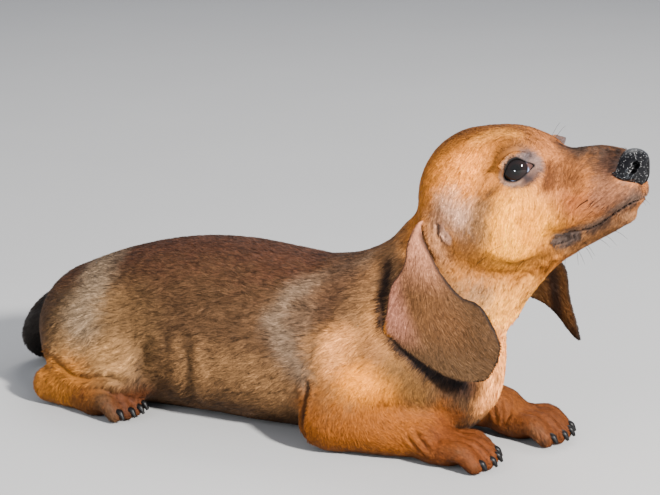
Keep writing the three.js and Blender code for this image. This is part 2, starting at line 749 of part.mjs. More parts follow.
for (const name of Object.keys(SIDES)) {
  const side = SIDES[name];
  const [wx, wy] = FORELEG.wrist[name];
  let leg;
  let foot;
  const foreTool = (grow) => ball([30, side * 37, 40], [34, 18, 37], grow)
      .add(ball([wx - 4, wy, 12], [60, 19, 22], grow))
      .add(ball([14, side * 40, 14], [30, 23, 30], grow));
  [leg, rest] = parted(rest, foreTool);
  [foot, leg] = parted(leg, split([wx + 3, wy, 0], [0.94, 0, -0.2]));
  const fore = clawSolids(forepawPlace(name), FOREPAW);
  fore.forEach((claw) => (foot = foot.subtract(grown(claw, GAP))));
  parts[`foreleg_${name}`] = leg;
  parts[`forepaw_${name}`] = largest(foot);
  fore.forEach((claw, n) => (parts[`claw_fore_${name}_${n + 1}`] = claw));

  const hindTool = (grow) => ball([-128, side * 44, 24], [46, 22, 36], grow);
  [leg, rest] = parted(rest, hindTool);
  const footTool = (grow) =>
    beyond([-133 - grow, 0, 0], [1, 0, 0]).subtract(beyond([-110, 0, 15.5 + grow], [-0.12, 0, 1]));
  [foot, leg] = parted(leg, footTool);
  const hind = clawSolids(hindpawPlace(name), HINDPAW);
  hind.forEach((claw) => (foot = foot.subtract(grown(claw, GAP))));
  parts[`hindleg_${name}`] = leg;
  parts[`hindpaw_${name}`] = largest(foot);
  hind.forEach((claw, n) => (parts[`claw_hind_${name}_${n + 1}`] = claw));

  const eye = onHead(EYE.at.map((v, n) => (n === 1 ? side * v : v)));
  const size = EYE.radius;
  parts[`eye_${name}`] = ball(eye, [size, size, size]);
  const lids = new THREE.Matrix4().makeBasis(
    new THREE.Vector3(...eyeFront(side, 0, 1, 0)).sub(new THREE.Vector3(...eyeFront(side, 0, 0, 0))),
    new THREE.Vector3(...eyeFront(side, 1, 0, 0)).sub(new THREE.Vector3(...eyeFront(side, 0, 0, 0))),
    new THREE.Vector3(...eyeFront(side, 0, 0, 1)).sub(new THREE.Vector3(...eyeFront(side, 0, 0, 0))),
  );
  lids.setPosition(...eyeFront(side, 9, 0, 0)).premultiply(head);
  if (lids.determinant() < 0) lids.multiply(new THREE.Matrix4().makeScale(-1, 1, 1));
  lids.scale(new THREE.Vector3(EYE.opening[0], 7, EYE.opening[1]));
  const opening = solidFrom(new THREE.IcosahedronGeometry(1, 5), lids);
  parts.head = parts.head.subtract(ball(eye, [size, size, size], GAP)).subtract(opening);
}
parts.torso = rest;

// The mouth: a slit from the lip to its corner, that parts the lower jaw.
const MOUTH = [
  [30, -19],
  [38.5, -13.5],
  [44.3, -10],
  [50, -8.6],
  [54.2, -7.8],
  [59.7, -5.4],
  [65, -1.6],
  [71, 2.6],
  [75.5, 5.4],
  [79, 6.8],
  [92, 9],
];
function mouthTool(grow) {
  const shape = new THREE.Shape();
  const rows = smoothRows(MOUTH, 4).filter(([x]) => x > 41.5 - grow);
  shape.moveTo(41.5 - grow, -60);
  for (const [x, z] of rows) shape.lineTo(x, z + grow);
  shape.lineTo(92, -60);
  const slab = new THREE.ExtrudeGeometry(shape, { depth: 80, bevelEnabled: false, steps: 1 });
  slab.applyMatrix4(new THREE.Matrix4().makeRotationX(Math.PI / 2).setPosition(0, 40, 0));
  return solidFrom(slab, head);
}
[parts.lower_jaw, parts.head] = parted(parts.head, mouthTool);

// Looks
const COLOURS = {
  head: "#b9793f",
  lower_jaw: "#a8672f",
  nose: "#1a181a",
  neck: "#c08a58",
  torso: "#6f4a2c",
  tail: "#2a1d16",
  ear: "#5d4030",
  eye: "#1e120c",
  foreleg: "#a9682f",
  forepaw: "#9a5322",
  hindleg: "#7c5230",
  hindpaw: "#95521f",
  claw: "#17130f",
};
const ROUGHNESS = { nose: 0.35, eye: 0.06, claw: 0.4 };

const group = new THREE.Group();
group.name = "dachshund_puppy";
const whole = new THREE.Box3();
for (const solid of Object.values(parts)) {
  const { min, max } = solid.boundingBox();
  whole.union(new THREE.Box3(new THREE.Vector3(...min), new THREE.Vector3(...max)));
}
const middle = whole.getCenter(new THREE.Vector3());
for (const [name, solid] of Object.entries(parts)) {
  const kind = COLOURS[name] ? name : name.split("_")[0];
  const roughness = ROUGHNESS[kind] ?? 0.8;
  const material = new THREE.MeshStandardMaterial({ color: COLOURS[kind], roughness, metalness: 0 });
  const mesh = new THREE.Mesh(geometryOf(largest(solid).translate([-middle.x, -middle.y, 0])), material);
  mesh.name = name;
  group.add(mesh);
}

export default group;
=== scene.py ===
"""A smooth-haired dachshund puppy, lying with its head raised: skin, coat, eyes, nose, claws and whiskers.

Millimetres until a mesh is made. +X runs towards the nose, +Y to the dog's left, +Z up, the floor is z = 0.
"""
import math

import bpy
import numpy as np
import openvdb
from mathutils import Matrix, Vector


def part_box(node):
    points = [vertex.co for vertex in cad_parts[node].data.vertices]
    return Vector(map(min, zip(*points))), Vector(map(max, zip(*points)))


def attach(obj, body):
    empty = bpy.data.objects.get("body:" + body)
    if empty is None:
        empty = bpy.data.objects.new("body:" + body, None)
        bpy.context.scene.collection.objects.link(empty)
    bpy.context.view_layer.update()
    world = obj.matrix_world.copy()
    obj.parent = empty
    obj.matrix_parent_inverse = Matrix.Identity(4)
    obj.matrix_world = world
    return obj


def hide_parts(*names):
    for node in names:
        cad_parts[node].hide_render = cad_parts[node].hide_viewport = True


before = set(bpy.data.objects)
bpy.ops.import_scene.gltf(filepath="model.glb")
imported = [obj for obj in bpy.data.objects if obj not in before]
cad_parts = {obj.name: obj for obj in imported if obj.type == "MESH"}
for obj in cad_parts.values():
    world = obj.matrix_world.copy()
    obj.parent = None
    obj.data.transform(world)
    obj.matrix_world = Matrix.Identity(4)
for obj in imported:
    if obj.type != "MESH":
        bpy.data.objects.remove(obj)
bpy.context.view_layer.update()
SEED = 11
rng = np.random.default_rng(SEED)
PER_METRE = 1000

# Driving dimensions
SKIN_DEPTH = 0.6  # how far the skin lies inside the solids
SKULL = (77, 0, 125)
MUZZLE_PITCH = math.radians(3)
EYE_AT = (23.2, 17.2, 21)
EYE_RADIUS = 8.6
EYE_YAW = math.radians(62)
LID_TILT = math.radians(18)
SIDES = {"right": -1, "left": 1}
SKIN_TRIANGLES = 192000
BLADES = 470000
MOST_BLADES = 64000  # in one piece
FLOOR_GAP = 0.3  # under the skin
BLADE_GAP = 0.05  # under the lowest blades

# The camera: the photograph's angle, 1 m from the head
AZIMUTH, ELEVATION, DISTANCE = math.radians(29), math.radians(14), 1000
MM_PER_PX = 0.46
ANCHOR, ANCHOR_PX = (155, 0, 150), (644, 167)
WIDTH_PX, HEIGHT_PX = 660, 495
SENSOR = 36
FOCAL_PX = DISTANCE / MM_PER_PX


# Small mathematics
def unit(v):
    v = np.asarray(v, float)
    return v / np.maximum(np.linalg.norm(v, axis=-1, keepdims=True), 1e-9)


def mix(a, b, t):
    return a + (b - a) * t


def ramp(x, low, high):
    t = np.clip((x - low) / (high - low), 0, 1)
    return t * t * (3 - 2 * t)


def smooth_least(a, b, k):
    h = np.maximum(k - np.abs(a - b), 0)
    return np.minimum(a, b) - h * h / (4 * k)


def smooth_most(a, b, k):
    return -smooth_least(-a, -b, k)


def smooth_rows(rows, steps):
    """A smooth curve through rows of numbers, as more rows."""
    rows = np.asarray(rows, float)
    padded = np.concatenate([rows[:1], rows, rows[-1:]])
    made = []
    for a, b, c, d in zip(padded, padded[1:], padded[2:], padded[3:]):
        for t in np.arange(steps) / steps:
            line = 2 * b + (c - a) * t
            made.append(0.5 * (line + (2 * a - 5 * b + 4 * c - d) * t**2 + (3 * b - a - 3 * c + d) * t**3))
    return np.array(made + [rows[-1]])


# Whole numbers that make a place and a seed into a random value
PRIMES, SEED_STEP, STIRS = (73856093, 19349663, 83492791), 2654435761, (1274126177, 2246822519)
LOW_32_BITS, LOW_24_BITS = 0xFFFFFFFF, 0xFFFFFF


def lattice(points, seed):
    """Value noise, 0 to 1, for points whose cells are 1 across."""
    base = np.floor(points).astype(np.int64)
    part = points - base
    part = part * part * (3 - 2 * part)
    total = np.zeros(len(points))
    for corner in range(8):
        bits = np.array([corner & 1, (corner >> 1) & 1, corner >> 2])
        n = (base + bits) @ np.array(PRIMES) + seed * SEED_STEP
        n = ((n ^ (n >> 13)) * STIRS[0]) & LOW_32_BITS
        n = ((n ^ (n >> 16)) * STIRS[1]) & LOW_32_BITS
        value = ((n ^ (n >> 15)) & LOW_24_BITS) / LOW_24_BITS
        total += value * np.prod(np.where(bits, part, 1 - part), axis=1)
    return total


def streaks(points, along, length, cell, seed):
    """Noise drawn out along a direction."""
    steps = np.linspace(-0.5, 0.5, 7) * length
    value = sum(lattice((points + along * s) / cell, seed) for s in steps) / len(steps)
    return np.clip(0.5 + (value - 0.5) * 2.4, 0, 1)


# Forms: each has the box that holds it and far(x, y, z), the distance to its surface.
class Egg:
    def __init__(self, centre, radii, turn=(0, 0, 0)):
        yaw, pitch, roll = (math.radians(v) for v in turn)
        turned = Matrix.Rotation(yaw, 3, "Z") @ Matrix.Rotation(-pitch, 3, "Y")
        self.back = (turned @ Matrix.Rotation(roll, 3, "X")).transposed()
        self.centre, self.radii, self.turn = np.asarray(centre, float), radii, turn
        self.low, self.high = self.centre - max(radii), self.centre + max(radii)

    def far(self, x, y, z):
        d = (x - self.centre[0], y - self.centre[1], z - self.centre[2])
        u, v, w = (sum(row[n] * d[n] for n in range(3)) for row in self.back)
        a, b, c = self.radii
        near = np.sqrt((u / a) ** 2 + (v / b) ** 2 + (w / c) ** 2)
        slope = np.sqrt((u / a**2) ** 2 + (v / b**2) ** 2 + (w / c**2) ** 2)
        return near * (near - 1) / np.maximum(slope, 1e-6)


class Limb:
    """A round-ended limb through stops (x, y, z, radius, width): width stretches it sideways."""

    def __init__(self, stops, steps=10):
        rows = smooth_rows([tuple(s) + (1,) * (5 - len(s)) for s in stops], steps)
        self.rows = rows
        reach = rows[:, 3] * np.maximum(1, rows[:, 4])
        self.low = (rows[:, :3] - reach[:, None]).min(0)
        self.high = (rows[:, :3] + reach[:, None]).max(0)

    def far(self, x, y, z):
        least = None
        for a, b in zip(self.rows, self.rows[1:]):
            along = b[:3] - a[:3]
            square = along @ along or 1
            flat = math.hypot(along[0], along[1])
            side = (-along[1] / flat, along[0] / flat) if flat > 1e-6 else (0, 1)
            px, py, pz = x - a[0], y - a[1], z - a[2]
            t = np.clip((px * along[0] + py * along[1] + pz * along[2]) / square, 0, 1)
            dx, dy, dz = px - along[0] * t, py - along[1] * t, pz - along[2] * t
            aside = (dx * side[0] + dy * side[1]) * (1 - 1 / (a[4] + (b[4] - a[4]) * t))
            dx, dy = dx - side[0] * aside, dy - side[1] * aside
            near = np.sqrt(dx * dx + dy * dy + dz * dz) - (a[3] + (b[3] - a[3]) * t)
            least = near if least is None else np.minimum(least, near)
        return least


class Moved:
    """A form moved by a matrix that turns and shifts."""

    def __init__(self, form, matrix):
        self.form, self.back = form, matrix.inverted()
        ends = (form.low, form.high)
        corners = [matrix @ Vector([ends[n >> k & 1][k] for k in range(3)]) for n in range(8)]
        self.low, self.high = np.min(corners, 0), np.max(corners, 0)

    def far(self, x, y, z):
        m = self.back
        return self.form.far(*(m[n][0] * x + m[n][1] * y + m[n][2] * z + m[n][3] for n in range(3)))


def place(at, yaw=0.0, pitch=0.0):
    """A place in the body: a point with a heading and a pitch, in degrees."""
    turn = Matrix.Rotation(math.radians(yaw), 4, "Z") @ Matrix.Rotation(-math.radians(pitch), 4, "Y")
    return Matrix.Translation(Vector(at)) @ turn


def limb(rows, side=1, at=None, steps=10):
    """A limb on one side of the body, in a moved frame where one is given."""
    made = Limb([(row[0], row[1] * side, *row[2:]) for row in rows], steps)
    return made if at is None else Moved(made, at)


HEAD = place(SKULL, 0, math.degrees(MUZZLE_PITCH))


def from_head(p):
    return np.array(HEAD @ Vector(p))


def brought_back(p, matrix):
    """Points as a frame sees them."""
    back = np.array(matrix.inverted())
    return p @ back[:3, :3].T + back[:3, 3]


def eye_centre(side):
    return from_head((EYE_AT[0], side * EYE_AT[1], EYE_AT[2]))


def eye_front(side, out, forward, up):
    """A point before an eye, in the head's frame: out along the gaze, forward along the lids, then up."""
    lid = forward * math.cos(LID_TILT) - up * math.sin(LID_TILT)
    rise = forward * math.sin(LID_TILT) + up * math.cos(LID_TILT)
    c, s = math.cos(EYE_YAW), math.sin(EYE_YAW)
    return (EYE_AT[0] + out * c + lid * s, side * (EYE_AT[1] + out * s - lid * c), EYE_AT[2] + rise)


# Where the solids lie: their frame is the dog's, moved to the middle of its box.
eye_low, eye_high = (np.array(corner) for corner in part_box("eye_right"))
SHIFT = eye_centre(SIDES["right"]) - (eye_low + eye_high) * PER_METRE / 2


def metres(points):
    return (np.asarray(points, float) - SHIFT) / PER_METRE


class Clay:
    """A grid of distances that forms are pressed into. Its cells are finer where the axes are."""
    BEYOND, EDGE = 60.0, 2  # the distance where nothing is near, and what a form reaches past its blend

    def __init__(self, *axes):
        self.axes = [np.asarray(a, np.float32) for a in axes]
        self.field = np.full([len(a) for a in axes], self.BEYOND, np.float32)

    def window(self, low, high):
        found = []
        for axis, a, b in zip(self.axes, low, high):
            found.append(slice(max(0, np.searchsorted(axis, a) - 1), np.searchsorted(axis, b) + 1))
        return tuple(found)

    def press(self, form, margin, join):
        w = self.window(form.low - margin, form.high + margin)
        x, y, z = (axis[s] for axis, s in zip(self.axes, w))
        far = form.far(x[:, None, None], y[None, :, None], z[None, None, :])
        self.field[w] = join(self.field[w], far.astype(np.float32))

    def add(self, form, blend):
        self.press(form, blend + self.EDGE, lambda a, b: smooth_least(a, b, blend))

    def carve(self, form, blend):
        self.press(form, blend + self.EDGE, lambda a, b: smooth_most(a, -b, blend))

    def surface(self):
        grid = openvdb.FloatGrid(self.BEYOND)
        grid.copyFromArray(self.field)
        points, triangles, quads = grid.convertToPolygons(isovalue=0.0, adaptivity=0.0)
        points = np.stack([np.interp(points[:, n], np.arange(len(a)), a) for n, a in enumerate(self.axes)], 1)
        faces = np.concatenate([triangles, quads[:, [0, 1, 2]], quads[:, [0, 2, 3]]]).astype(np.int64)
        a, b, c = (points[faces[:, n]] for n in range(3))
        if np.einsum("ij,ij->i", a, np.cross(b, c)).sum() < 0:
            faces = faces[:, ::-1]
        return points, faces


def axis(*spans):
    """Grid lines over spans of (start, end, cell)."""
    return np.concatenate([np.arange(a, b, cell) for a, b, cell in spans])


def vertex_normals(points, faces):
    a, b, c = (points[faces[:, n]] for n in range(3))
    face = np.cross(b - a, c - a)
    total = [sum(np.bincount(faces[:, k], face[:, n], len(points)) for k in range(3)) for n in range(3)]
    return unit(np.stack(total, 1))


def smoothed(points, faces, amount=0.4, rounds=2):
    """Draws each point towards the middle of its neighbours, then back out, so that no form shrinks."""
    start, end = np.concatenate([faces[:, [0, 1]], faces[:, [1, 2]], faces[:, [2, 0]]]).T
    degree = np.maximum(np.bincount(start, minlength=len(points)), 1)
    for n in range(rounds * 2):
        step = amount if n % 2 == 0 else -amount * 1.03
        middle = np.stack([np.bincount(start, points[end, k], len(points)) for k in range(3)], 1)
        points = points + step * (middle / degree[:, None] - points)
    return points


def placed(name, data):
    """A new object in the scene."""
    made = bpy.data.objects.new(name, data)
    bpy.context.scene.collection.objects.link(made)
    return made


def mesh_object(name, points, faces):
    """A mesh object, from points in millimetres."""
    mesh = bpy.data.meshes.new(name)
    mesh.vertices.add(len(points))
    mesh.vertices.foreach_set("co", metres(points).ravel().astype(np.float32))
    mesh.loops.add(faces.size)
    mesh.loops.foreach_set("vertex_index", faces.ravel().astype(np.int32))
    mesh.polygons.add(len(faces))
    mesh.polygons.foreach_set("loop_start", np.arange(len(faces), dtype=np.int32) * faces.shape[1])
    mesh.update(calc_edges=True)
    mesh.validate()
    mesh.shade_smooth()
    return placed(name, mesh)


def paint(mesh, colours):
    layer = mesh.color_attributes.new("markings", "FLOAT_COLOR", "POINT")
    colours = np.concatenate([colours, np.ones((len(colours), 1))], 1)
    layer.data.foreach_set("color", colours.ravel().astype(np.float32))


# The body's forms, as rows of x, y, z, radius and width
TRUNK = [
    (-147, 0, 32, 36, 1.04), (-120, 0, 37, 42, 1), (-92, 0, 42, 45, 1.02), (-66, 0, 44, 46, 1.05),
    (-38, 0, 43.4, 45.5, 1.05), (-8, 0, 43, 44, 1), (22, 0, 43, 41, 0.95),
]
NECK = [(76, 0, 106, 25, 0.95), (66, 0, 91, 29, 0.92), (50, 0, 73, 33, 0.9), (32, 0, 56, 38, 0.88)]
NAPE = [
    (47, 0, 112, 7.5, 1.5), (41, 0, 106.5, 8, 1.6), (31, 0, 94.5, 8.2, 1.8), (14, 0, 83.5, 8.6, 1.8),
    (-4, 0, 78, 8, 1.8),
]
THROAT = [(105, 0, 104, 9), (91, 0, 92.5, 13), (76, 0, 79, 17)]
TAIL = [
    (-164, 0, 43, 12), (-180, 1, 37, 10.5), (-193, 4, 27, 9), (-201, 9, 16, 8), (-202, 20, 8.4, 7.4),
    (-198, 38, 6.2, 6.4), (-186, 54, 5, 5.2), (-168, 66, 3.8, 4), (-152, 72, 2.6, 2.6),
]
TAIL_PATH = [row[:3] for row in TAIL]
SHOULDER, ELBOW = (38, 31, 44), (12, 37, 16.5)
WRIST = {"right": (59, -29, 13), "left": (74, 27, 13)}
FORE_HEADING = {"right": 6, "left": 0}
KNEE, HEEL, HIND_TOES, HIND_HEADING = (-112, 39, 20), (-154, 44, 9), (-130, 44.5, 0), 5
FOREPAW = {"half": 14.5, "length": 34, "toe": 5.4}
HINDPAW = {"half": 12.5, "length": 31, "toe": 5}
PAW_TOES = (-0.95, -0.33, 0.33, 0.95)
TOE_GAPS = (-0.64, 0, 0.64)
CLAW_RADIUS, CLAW_LENGTH = 1.9, 5.2

# The forms of the head, in its frame
SNOUT = [(22, 0, 11, 17, 0.86), (42, 0, 13.5, 14.8, 0.85), (58, 0, 17, 13.4, 0.82), (66, 0, 17.6, 12, 0.86)]
JAW = [
    (4, 0, -14, 17, 1.15), (30, 0, -15.5, 12.5, 1.2), (46, 0, -11.5, 8.4, 1.2), (60, 0, -5.6, 6.7, 1.25),
    (69.4, 0, -0.6, 6, 1.3),
]
EAR_ROOT = [(54.5, 15.5, 121, 5), (56, 19.5, 114, 5.2), (60, 23.5, 106, 4)]  # in the body's frame
LIP = [(30, 12, -2, 9.5), (46, 9, 1, 9), (60, 6.6, 6.6, 8), (73, 4.3, 9.6, 6.6)]
MOUTH = smooth_rows([
    (30, -19), (38.5, -13.5), (44.3, -10), (50, -8.6), (54.2, -7.8), (59.7, -5.4), (65, -1.6), (71, 2.6),
    (75.5, 5.4), (79, 6.8), (92, 9),
], 8)
MOUTH_CORNER = 42
EAR_RIM = {
    "right": [
        (53.4, 118), (55, 112.5), (60.8, 105), (71.3, 93), (79, 86.3), (88.8, 82.6), (96.8, 71), (99.2, 62),
        (94.3, 48.8), (87.8, 45.9), (79, 45.6), (71.2, 47.4), (61.8, 51.9), (53.4, 57.1), (46.2, 62.6),
        (41, 65.4), (41, 78), (42.5, 88), (47.6, 97), (48.2, 109), (51, 117),
    ],
    "left": [
        (55, 119), (62, 113), (76, 104), (93, 98), (105.6, 91), (108.6, 76), (114, 62), (115.5, 54.5),
        (110, 56.5), (98.5, 65), (87.6, 69.5), (75, 70.5), (64, 65.5), (54, 62.5), (46, 67.5),
        (42.5, 78), (43.5, 91), (47.5, 104), (49, 114), (51, 119),
    ],
}
EAR_CORNER = (42, 65.5)  # the lower rear corner of the near ear, in x and z
EAR_THICKNESS = 2.5
EAR_BASE_Z = 125


def ear_sheet(x, z):
    down = EAR_BASE_Z - z
    drop = np.clip(down / 60, 0, 1.3)
    middle = 60 + 0.2 * down
    return 19 + 20 * (1 - np.exp(-down / 26)) - 0.13 * (x - 72) * drop - 0.003 * (x - middle) ** 2


def rim_distance(rim, x, z, steps=5):
    """How far points lie outside an outline."""
    edge = smooth_rows(list(rim) + [rim[0]], steps)
    least, inside = np.full(np.broadcast(x, z).shape, 1e9), np.zeros(np.broadcast(x, z).shape, bool)
    for (ax, az), (bx, bz) in zip(edge, edge[1:]):
        ex, ez = bx - ax, bz - az
        t = np.clip(((x - ax) * ex + (z - az) * ez) / max(ex * ex + ez * ez, 1e-9), 0, 1)
        least = np.minimum(least, np.hypot(x - ax - ex * t, z - az - ez * t))
        if abs(ez) > 1e-9:
            inside ^= ((az > z) != (bz > z)) & (x < ax + ex * (z - az) / ez)
    return np.where(inside, -least, least)


class Flap:
    """An ear flap: an outline in x and z, on a sheet that bends, thinner towards its edge."""

    def __init__(self, name):
        self.side, self.rim = SIDES[name], EAR_RIM[name]
        xs, zs = zip(*self.rim)
        ys = [self.side * ear_sheet(x, z) for x, z in self.rim]
        self.low = np.array([min(xs) - 2, min(ys) - 6, min(zs) - 2])
        self.high = np.array([max(xs) + 2, max(ys) + 6, max(zs) + 2])

    def far(self, x, y, z):
        rim = rim_distance(self.rim, x, z)
        thick = EAR_THICKNESS * (0.55 + 0.45 * ramp(-rim, 0, 9))
        sheet = np.abs(y - self.side * self.bent(x, z)) - thick / 2
        return smooth_most(rim, sheet, 1.6)

    def bent(self, x, z):
        """The sheet with its soft ripples."""
        ripple = 0.7 * np.sin((x - 0.35 * (z - 60)) / 6.5) * ramp(110 - z, 0, 30)
        return ear_sheet(x, z) + ripple

    def holds(self, p):
        return self.far(p[:, 0], p[:, 1], p[:, 2]) < 0.35


FLAPS = {name: Flap(name) for name in SIDES}


def trunk_forms(clay):
    clay.add(limb(TRUNK, steps=5), 10)
    clay.add(limb(NECK, steps=6), 14)
    clay.add(Egg((52, 0, 42), (33, 30, 38)), 16)  # the chest
    clay.add(limb(NAPE, steps=6), 10)
    clay.add(limb(THROAT, steps=6), 9)


def head_forms(clay):
    def put(form, blend):
        clay.add(Moved(form, HEAD), blend)

    put(Egg((0, 0, 1), (35.2, 29, 36)), 8)  # the skull
    put(Egg((17, 0, 11), (25, 22.5, 26.4)), 9)  # the forehead
    put(Limb(SNOUT), 9)
    put(Limb(JAW), 7)
    put(Egg((71.8, 0, 3.6), (3.9, 6, 3.4)), 3)  # the chin's tip
    for side in SIDES.values():
        put(Egg((23, side * 12, 24), (10, 8.5, 7)), 6)  # the brow
        put(Egg((12, side * 19, -6), (21, 10, 20)), 9)  # the cheek
        put(limb(LIP, side), 5)
        put(Egg((EYE_AT[0], side * EYE_AT[1], EYE_AT[2]), (9.8, 9.8, 9.8)), 3)  # the lids
        fold = [(6.4, 7, 5.2, 1.2), (6, 0, 7.1, 1.3), (6.4, -7.5, 4.6, 1.2)]
        put(Limb([(*eye_front(side, *at), radius) for *at, radius in fold]), 4)
        clay.add(limb(EAR_ROOT, side), 6)


def toe_line(across, half, length):
    """How far forward and aside a toe reaches in its paw."""
    return length * (1 - 0.11 * across * across), across * half * 0.78


def paw_forms(clay, at, half, length, toe):
    clay.add(Moved(Egg((length * 0.3, 0, 8), (length * 0.42, half * 0.93, 8.8)), at), 6)
    for across in PAW_TOES:
        reach, y = toe_line(across, half, length)
        end = (reach * 0.93, y * 1.03, 5, toe * 0.9)
        clay.add(limb([(reach * 0.42, y * 0.85, 9.5, toe), (reach * 0.7, y, 10, toe), end], at=at), 2)


def paw_place(name, fore):
    if fore:
        return place((*WRIST[name][:2], 0), FORE_HEADING[name])
    return place((HIND_TOES[0], SIDES[name] * HIND_TOES[1], 0), SIDES[name] * HIND_HEADING)


# Each paw's place, shape and side
PAWS = [
    (paw_place(name, fore), FOREPAW if fore else HINDPAW, name) for fore in (True, False) for name in SIDES
]


def leg_forms(clay, name):
    side = SIDES[name]
    wrist = np.array(WRIST[name], float)
    shoulder, elbow = (np.array((p[0], side * p[1], p[2]), float) for p in (SHOULDER, ELBOW))
    fore, hind = ((at, shape) for at, shape, owner in PAWS if owner == name)
    clay.add(Egg((34, side * 26, 44), (30, 13, 33)), 13)  # the shoulder's muscle
    clay.add(Limb([(*shoulder, 14), (*elbow, 14.5)]), 12)
    clay.add(Limb([(*elbow, 15.5), (*mix(elbow, wrist, 0.55), 14), (*wrist, 11.3)]), 6)
    paw_forms(clay, fore[0], **fore[1])
    clay.add(Egg((-130, side * 30, 31), (33, 19, 29), (0, 8, 0)), 12)  # the haunch
    clay.add(Egg((-112, side * 38, 24), (18, 15, 19)), 8)  # the thigh
    clay.add(limb([(*KNEE, 13), (-134, 44, 15, 11), (-154, 44, 12, 8)], side), 6)
    clay.add(limb([(*HEEL, 8), (-140, 45, 8, 7.5), (-124, 45, 8, 8.5)], side), 4)
    paw_forms(clay, hind[0], **hind[1])


NOSE = [
    Egg((72.8, 0, 19.6), (7.6, 9.4, 8), (0, -8, 0)), Egg((69.4, 0, 18.4), (4.4, 9.6, 3.4)),
    Egg((74.2, 4.4, 20.6), (5.2, 5, 5.6)), Egg((74.2, -4.4, 20.6), (5.2, 5, 5.6)),
    Egg((74.8, 0, 24.2), (6.2, 6.8, 5)), Egg((74.8, 0, 17), (6.2, 5.2, 5.6)),
]
NOSE_SEAT = 0.5  # how much smaller the skin's hollow is than the nose


def mouth_height(x):
    return np.interp(x, MOUTH[:, 0], MOUTH[:, 1])


class LipGroove:
    """The slit between the lips, in the head's frame."""
    low, high = np.array([MOUTH_CORNER - 2, -24, -20.0]), np.array([84, 24, 16.0])
    HALF, SLANT, DEPTH = 0.32, 0.85, 2.0

    def far(self, x, y, z):
        return np.maximum(np.abs(z - mouth_height(x)) * self.SLANT - self.HALF, MOUTH_CORNER - x)

    def cut(self, skin, far):
        """The skin with the slit in it, only as deep as its edge."""
        return smooth_most(skin, -np.maximum(far, -skin - self.DEPTH), 0.6)


def skin_surface():
    clay = Clay(
        axis((-216, 38, 1.3), (38, 88, 0.75), (88, 114, 0.42), (114, 160, 0.65)),
        axis(
            (-76, -46, 1.3), (-46, -29, 0.8), (-29, -9, 0.45), (-9, 9, 0.75), (9, 29, 0.45), (29, 46, 0.8),
            (46, 88, 1.3),
        ),
        axis((-8, 44, 1.1), (44, 108, 0.8), (108, 136, 0.65), (136, 160, 0.42), (160, 166, 0.7)),
    )
    trunk_forms(clay)
    head_forms(clay)
    for name in SIDES:
        leg_forms(clay, name)
    clay.add(Limb(TAIL), 6)
    clay.field += SKIN_DEPTH
    below = -clay.axes[2][None, None, :] + FLOOR_GAP
    clay.field = smooth_most(clay.field, np.broadcast_to(below, clay.field.shape), 1.2)
    groove = LipGroove()
    clay.press(Moved(groove, HEAD), 2, groove.cut)
    for form in NOSE:
        clay.carve(Moved(Egg(form.centre, [r - NOSE_SEAT for r in form.radii], form.turn), HEAD), 0.8)
    for name, side in SIDES.items():
        clay.carve(limb([(63, 28, 117, 2.4), (65, 29, 112, 2.8), (64, 30, 106, 2)], side), 3)  # the ear's cup
        clay.add(FLAPS[name], 1.2)
        clay.carve(Egg(eye_centre(side), [EYE_RADIUS + 0.1] * 3), 0.3)
        clay.carve(eye_opening(side), 0.5)
    return clay.surface()


# The outline of the lids before the eye: forward along the lids, and up
LIDS = [
    (-7.0, -2.2), (-6.9, -0.4), (-5.3, 2.1), (-3.6, 4.2), (-2.1, 5.2), (-0.4, 5.6), (1.3, 5.3), (3.1, 3.9),
    (4.7, 2.1), (6.5, 0.6), (7.6, -0.7), (6.6, -0.9), (4.1, -1.8), (1.5, -2.8), (-1.6, -3.9), (-4.5, -3.7),
]


class EyeOpening:
    """The opening between the lids, in a frame of forward, out and up before the eye."""
    low, high = np.array([-9, -7, -6.0]), np.array([9, 7, 8.0])

    def far(self, x, y, z):
        return smooth_most(rim_distance(LIDS, x, z, 3), -6.5 - y, 0.5)


def eye_frame(side):
    """A frame before an eye, with its axes forward along the lids, out and up."""
    o = Vector(eye_front(side, 0, 0, 0))
    axes = [Vector(eye_front(side, *step)) - o for step in ((0, 1, 0), (1, 0, 0), (0, 0, 1))]
    at = Vector(eye_front(side, 9, 0, 0))
    return HEAD @ Matrix([[axis[r] for axis in axes] + [at[r]] for r in range(3)] + [[0, 0, 0, 1]])


def eye_opening(side):
    return Moved(EyeOpening(), eye_frame(side))


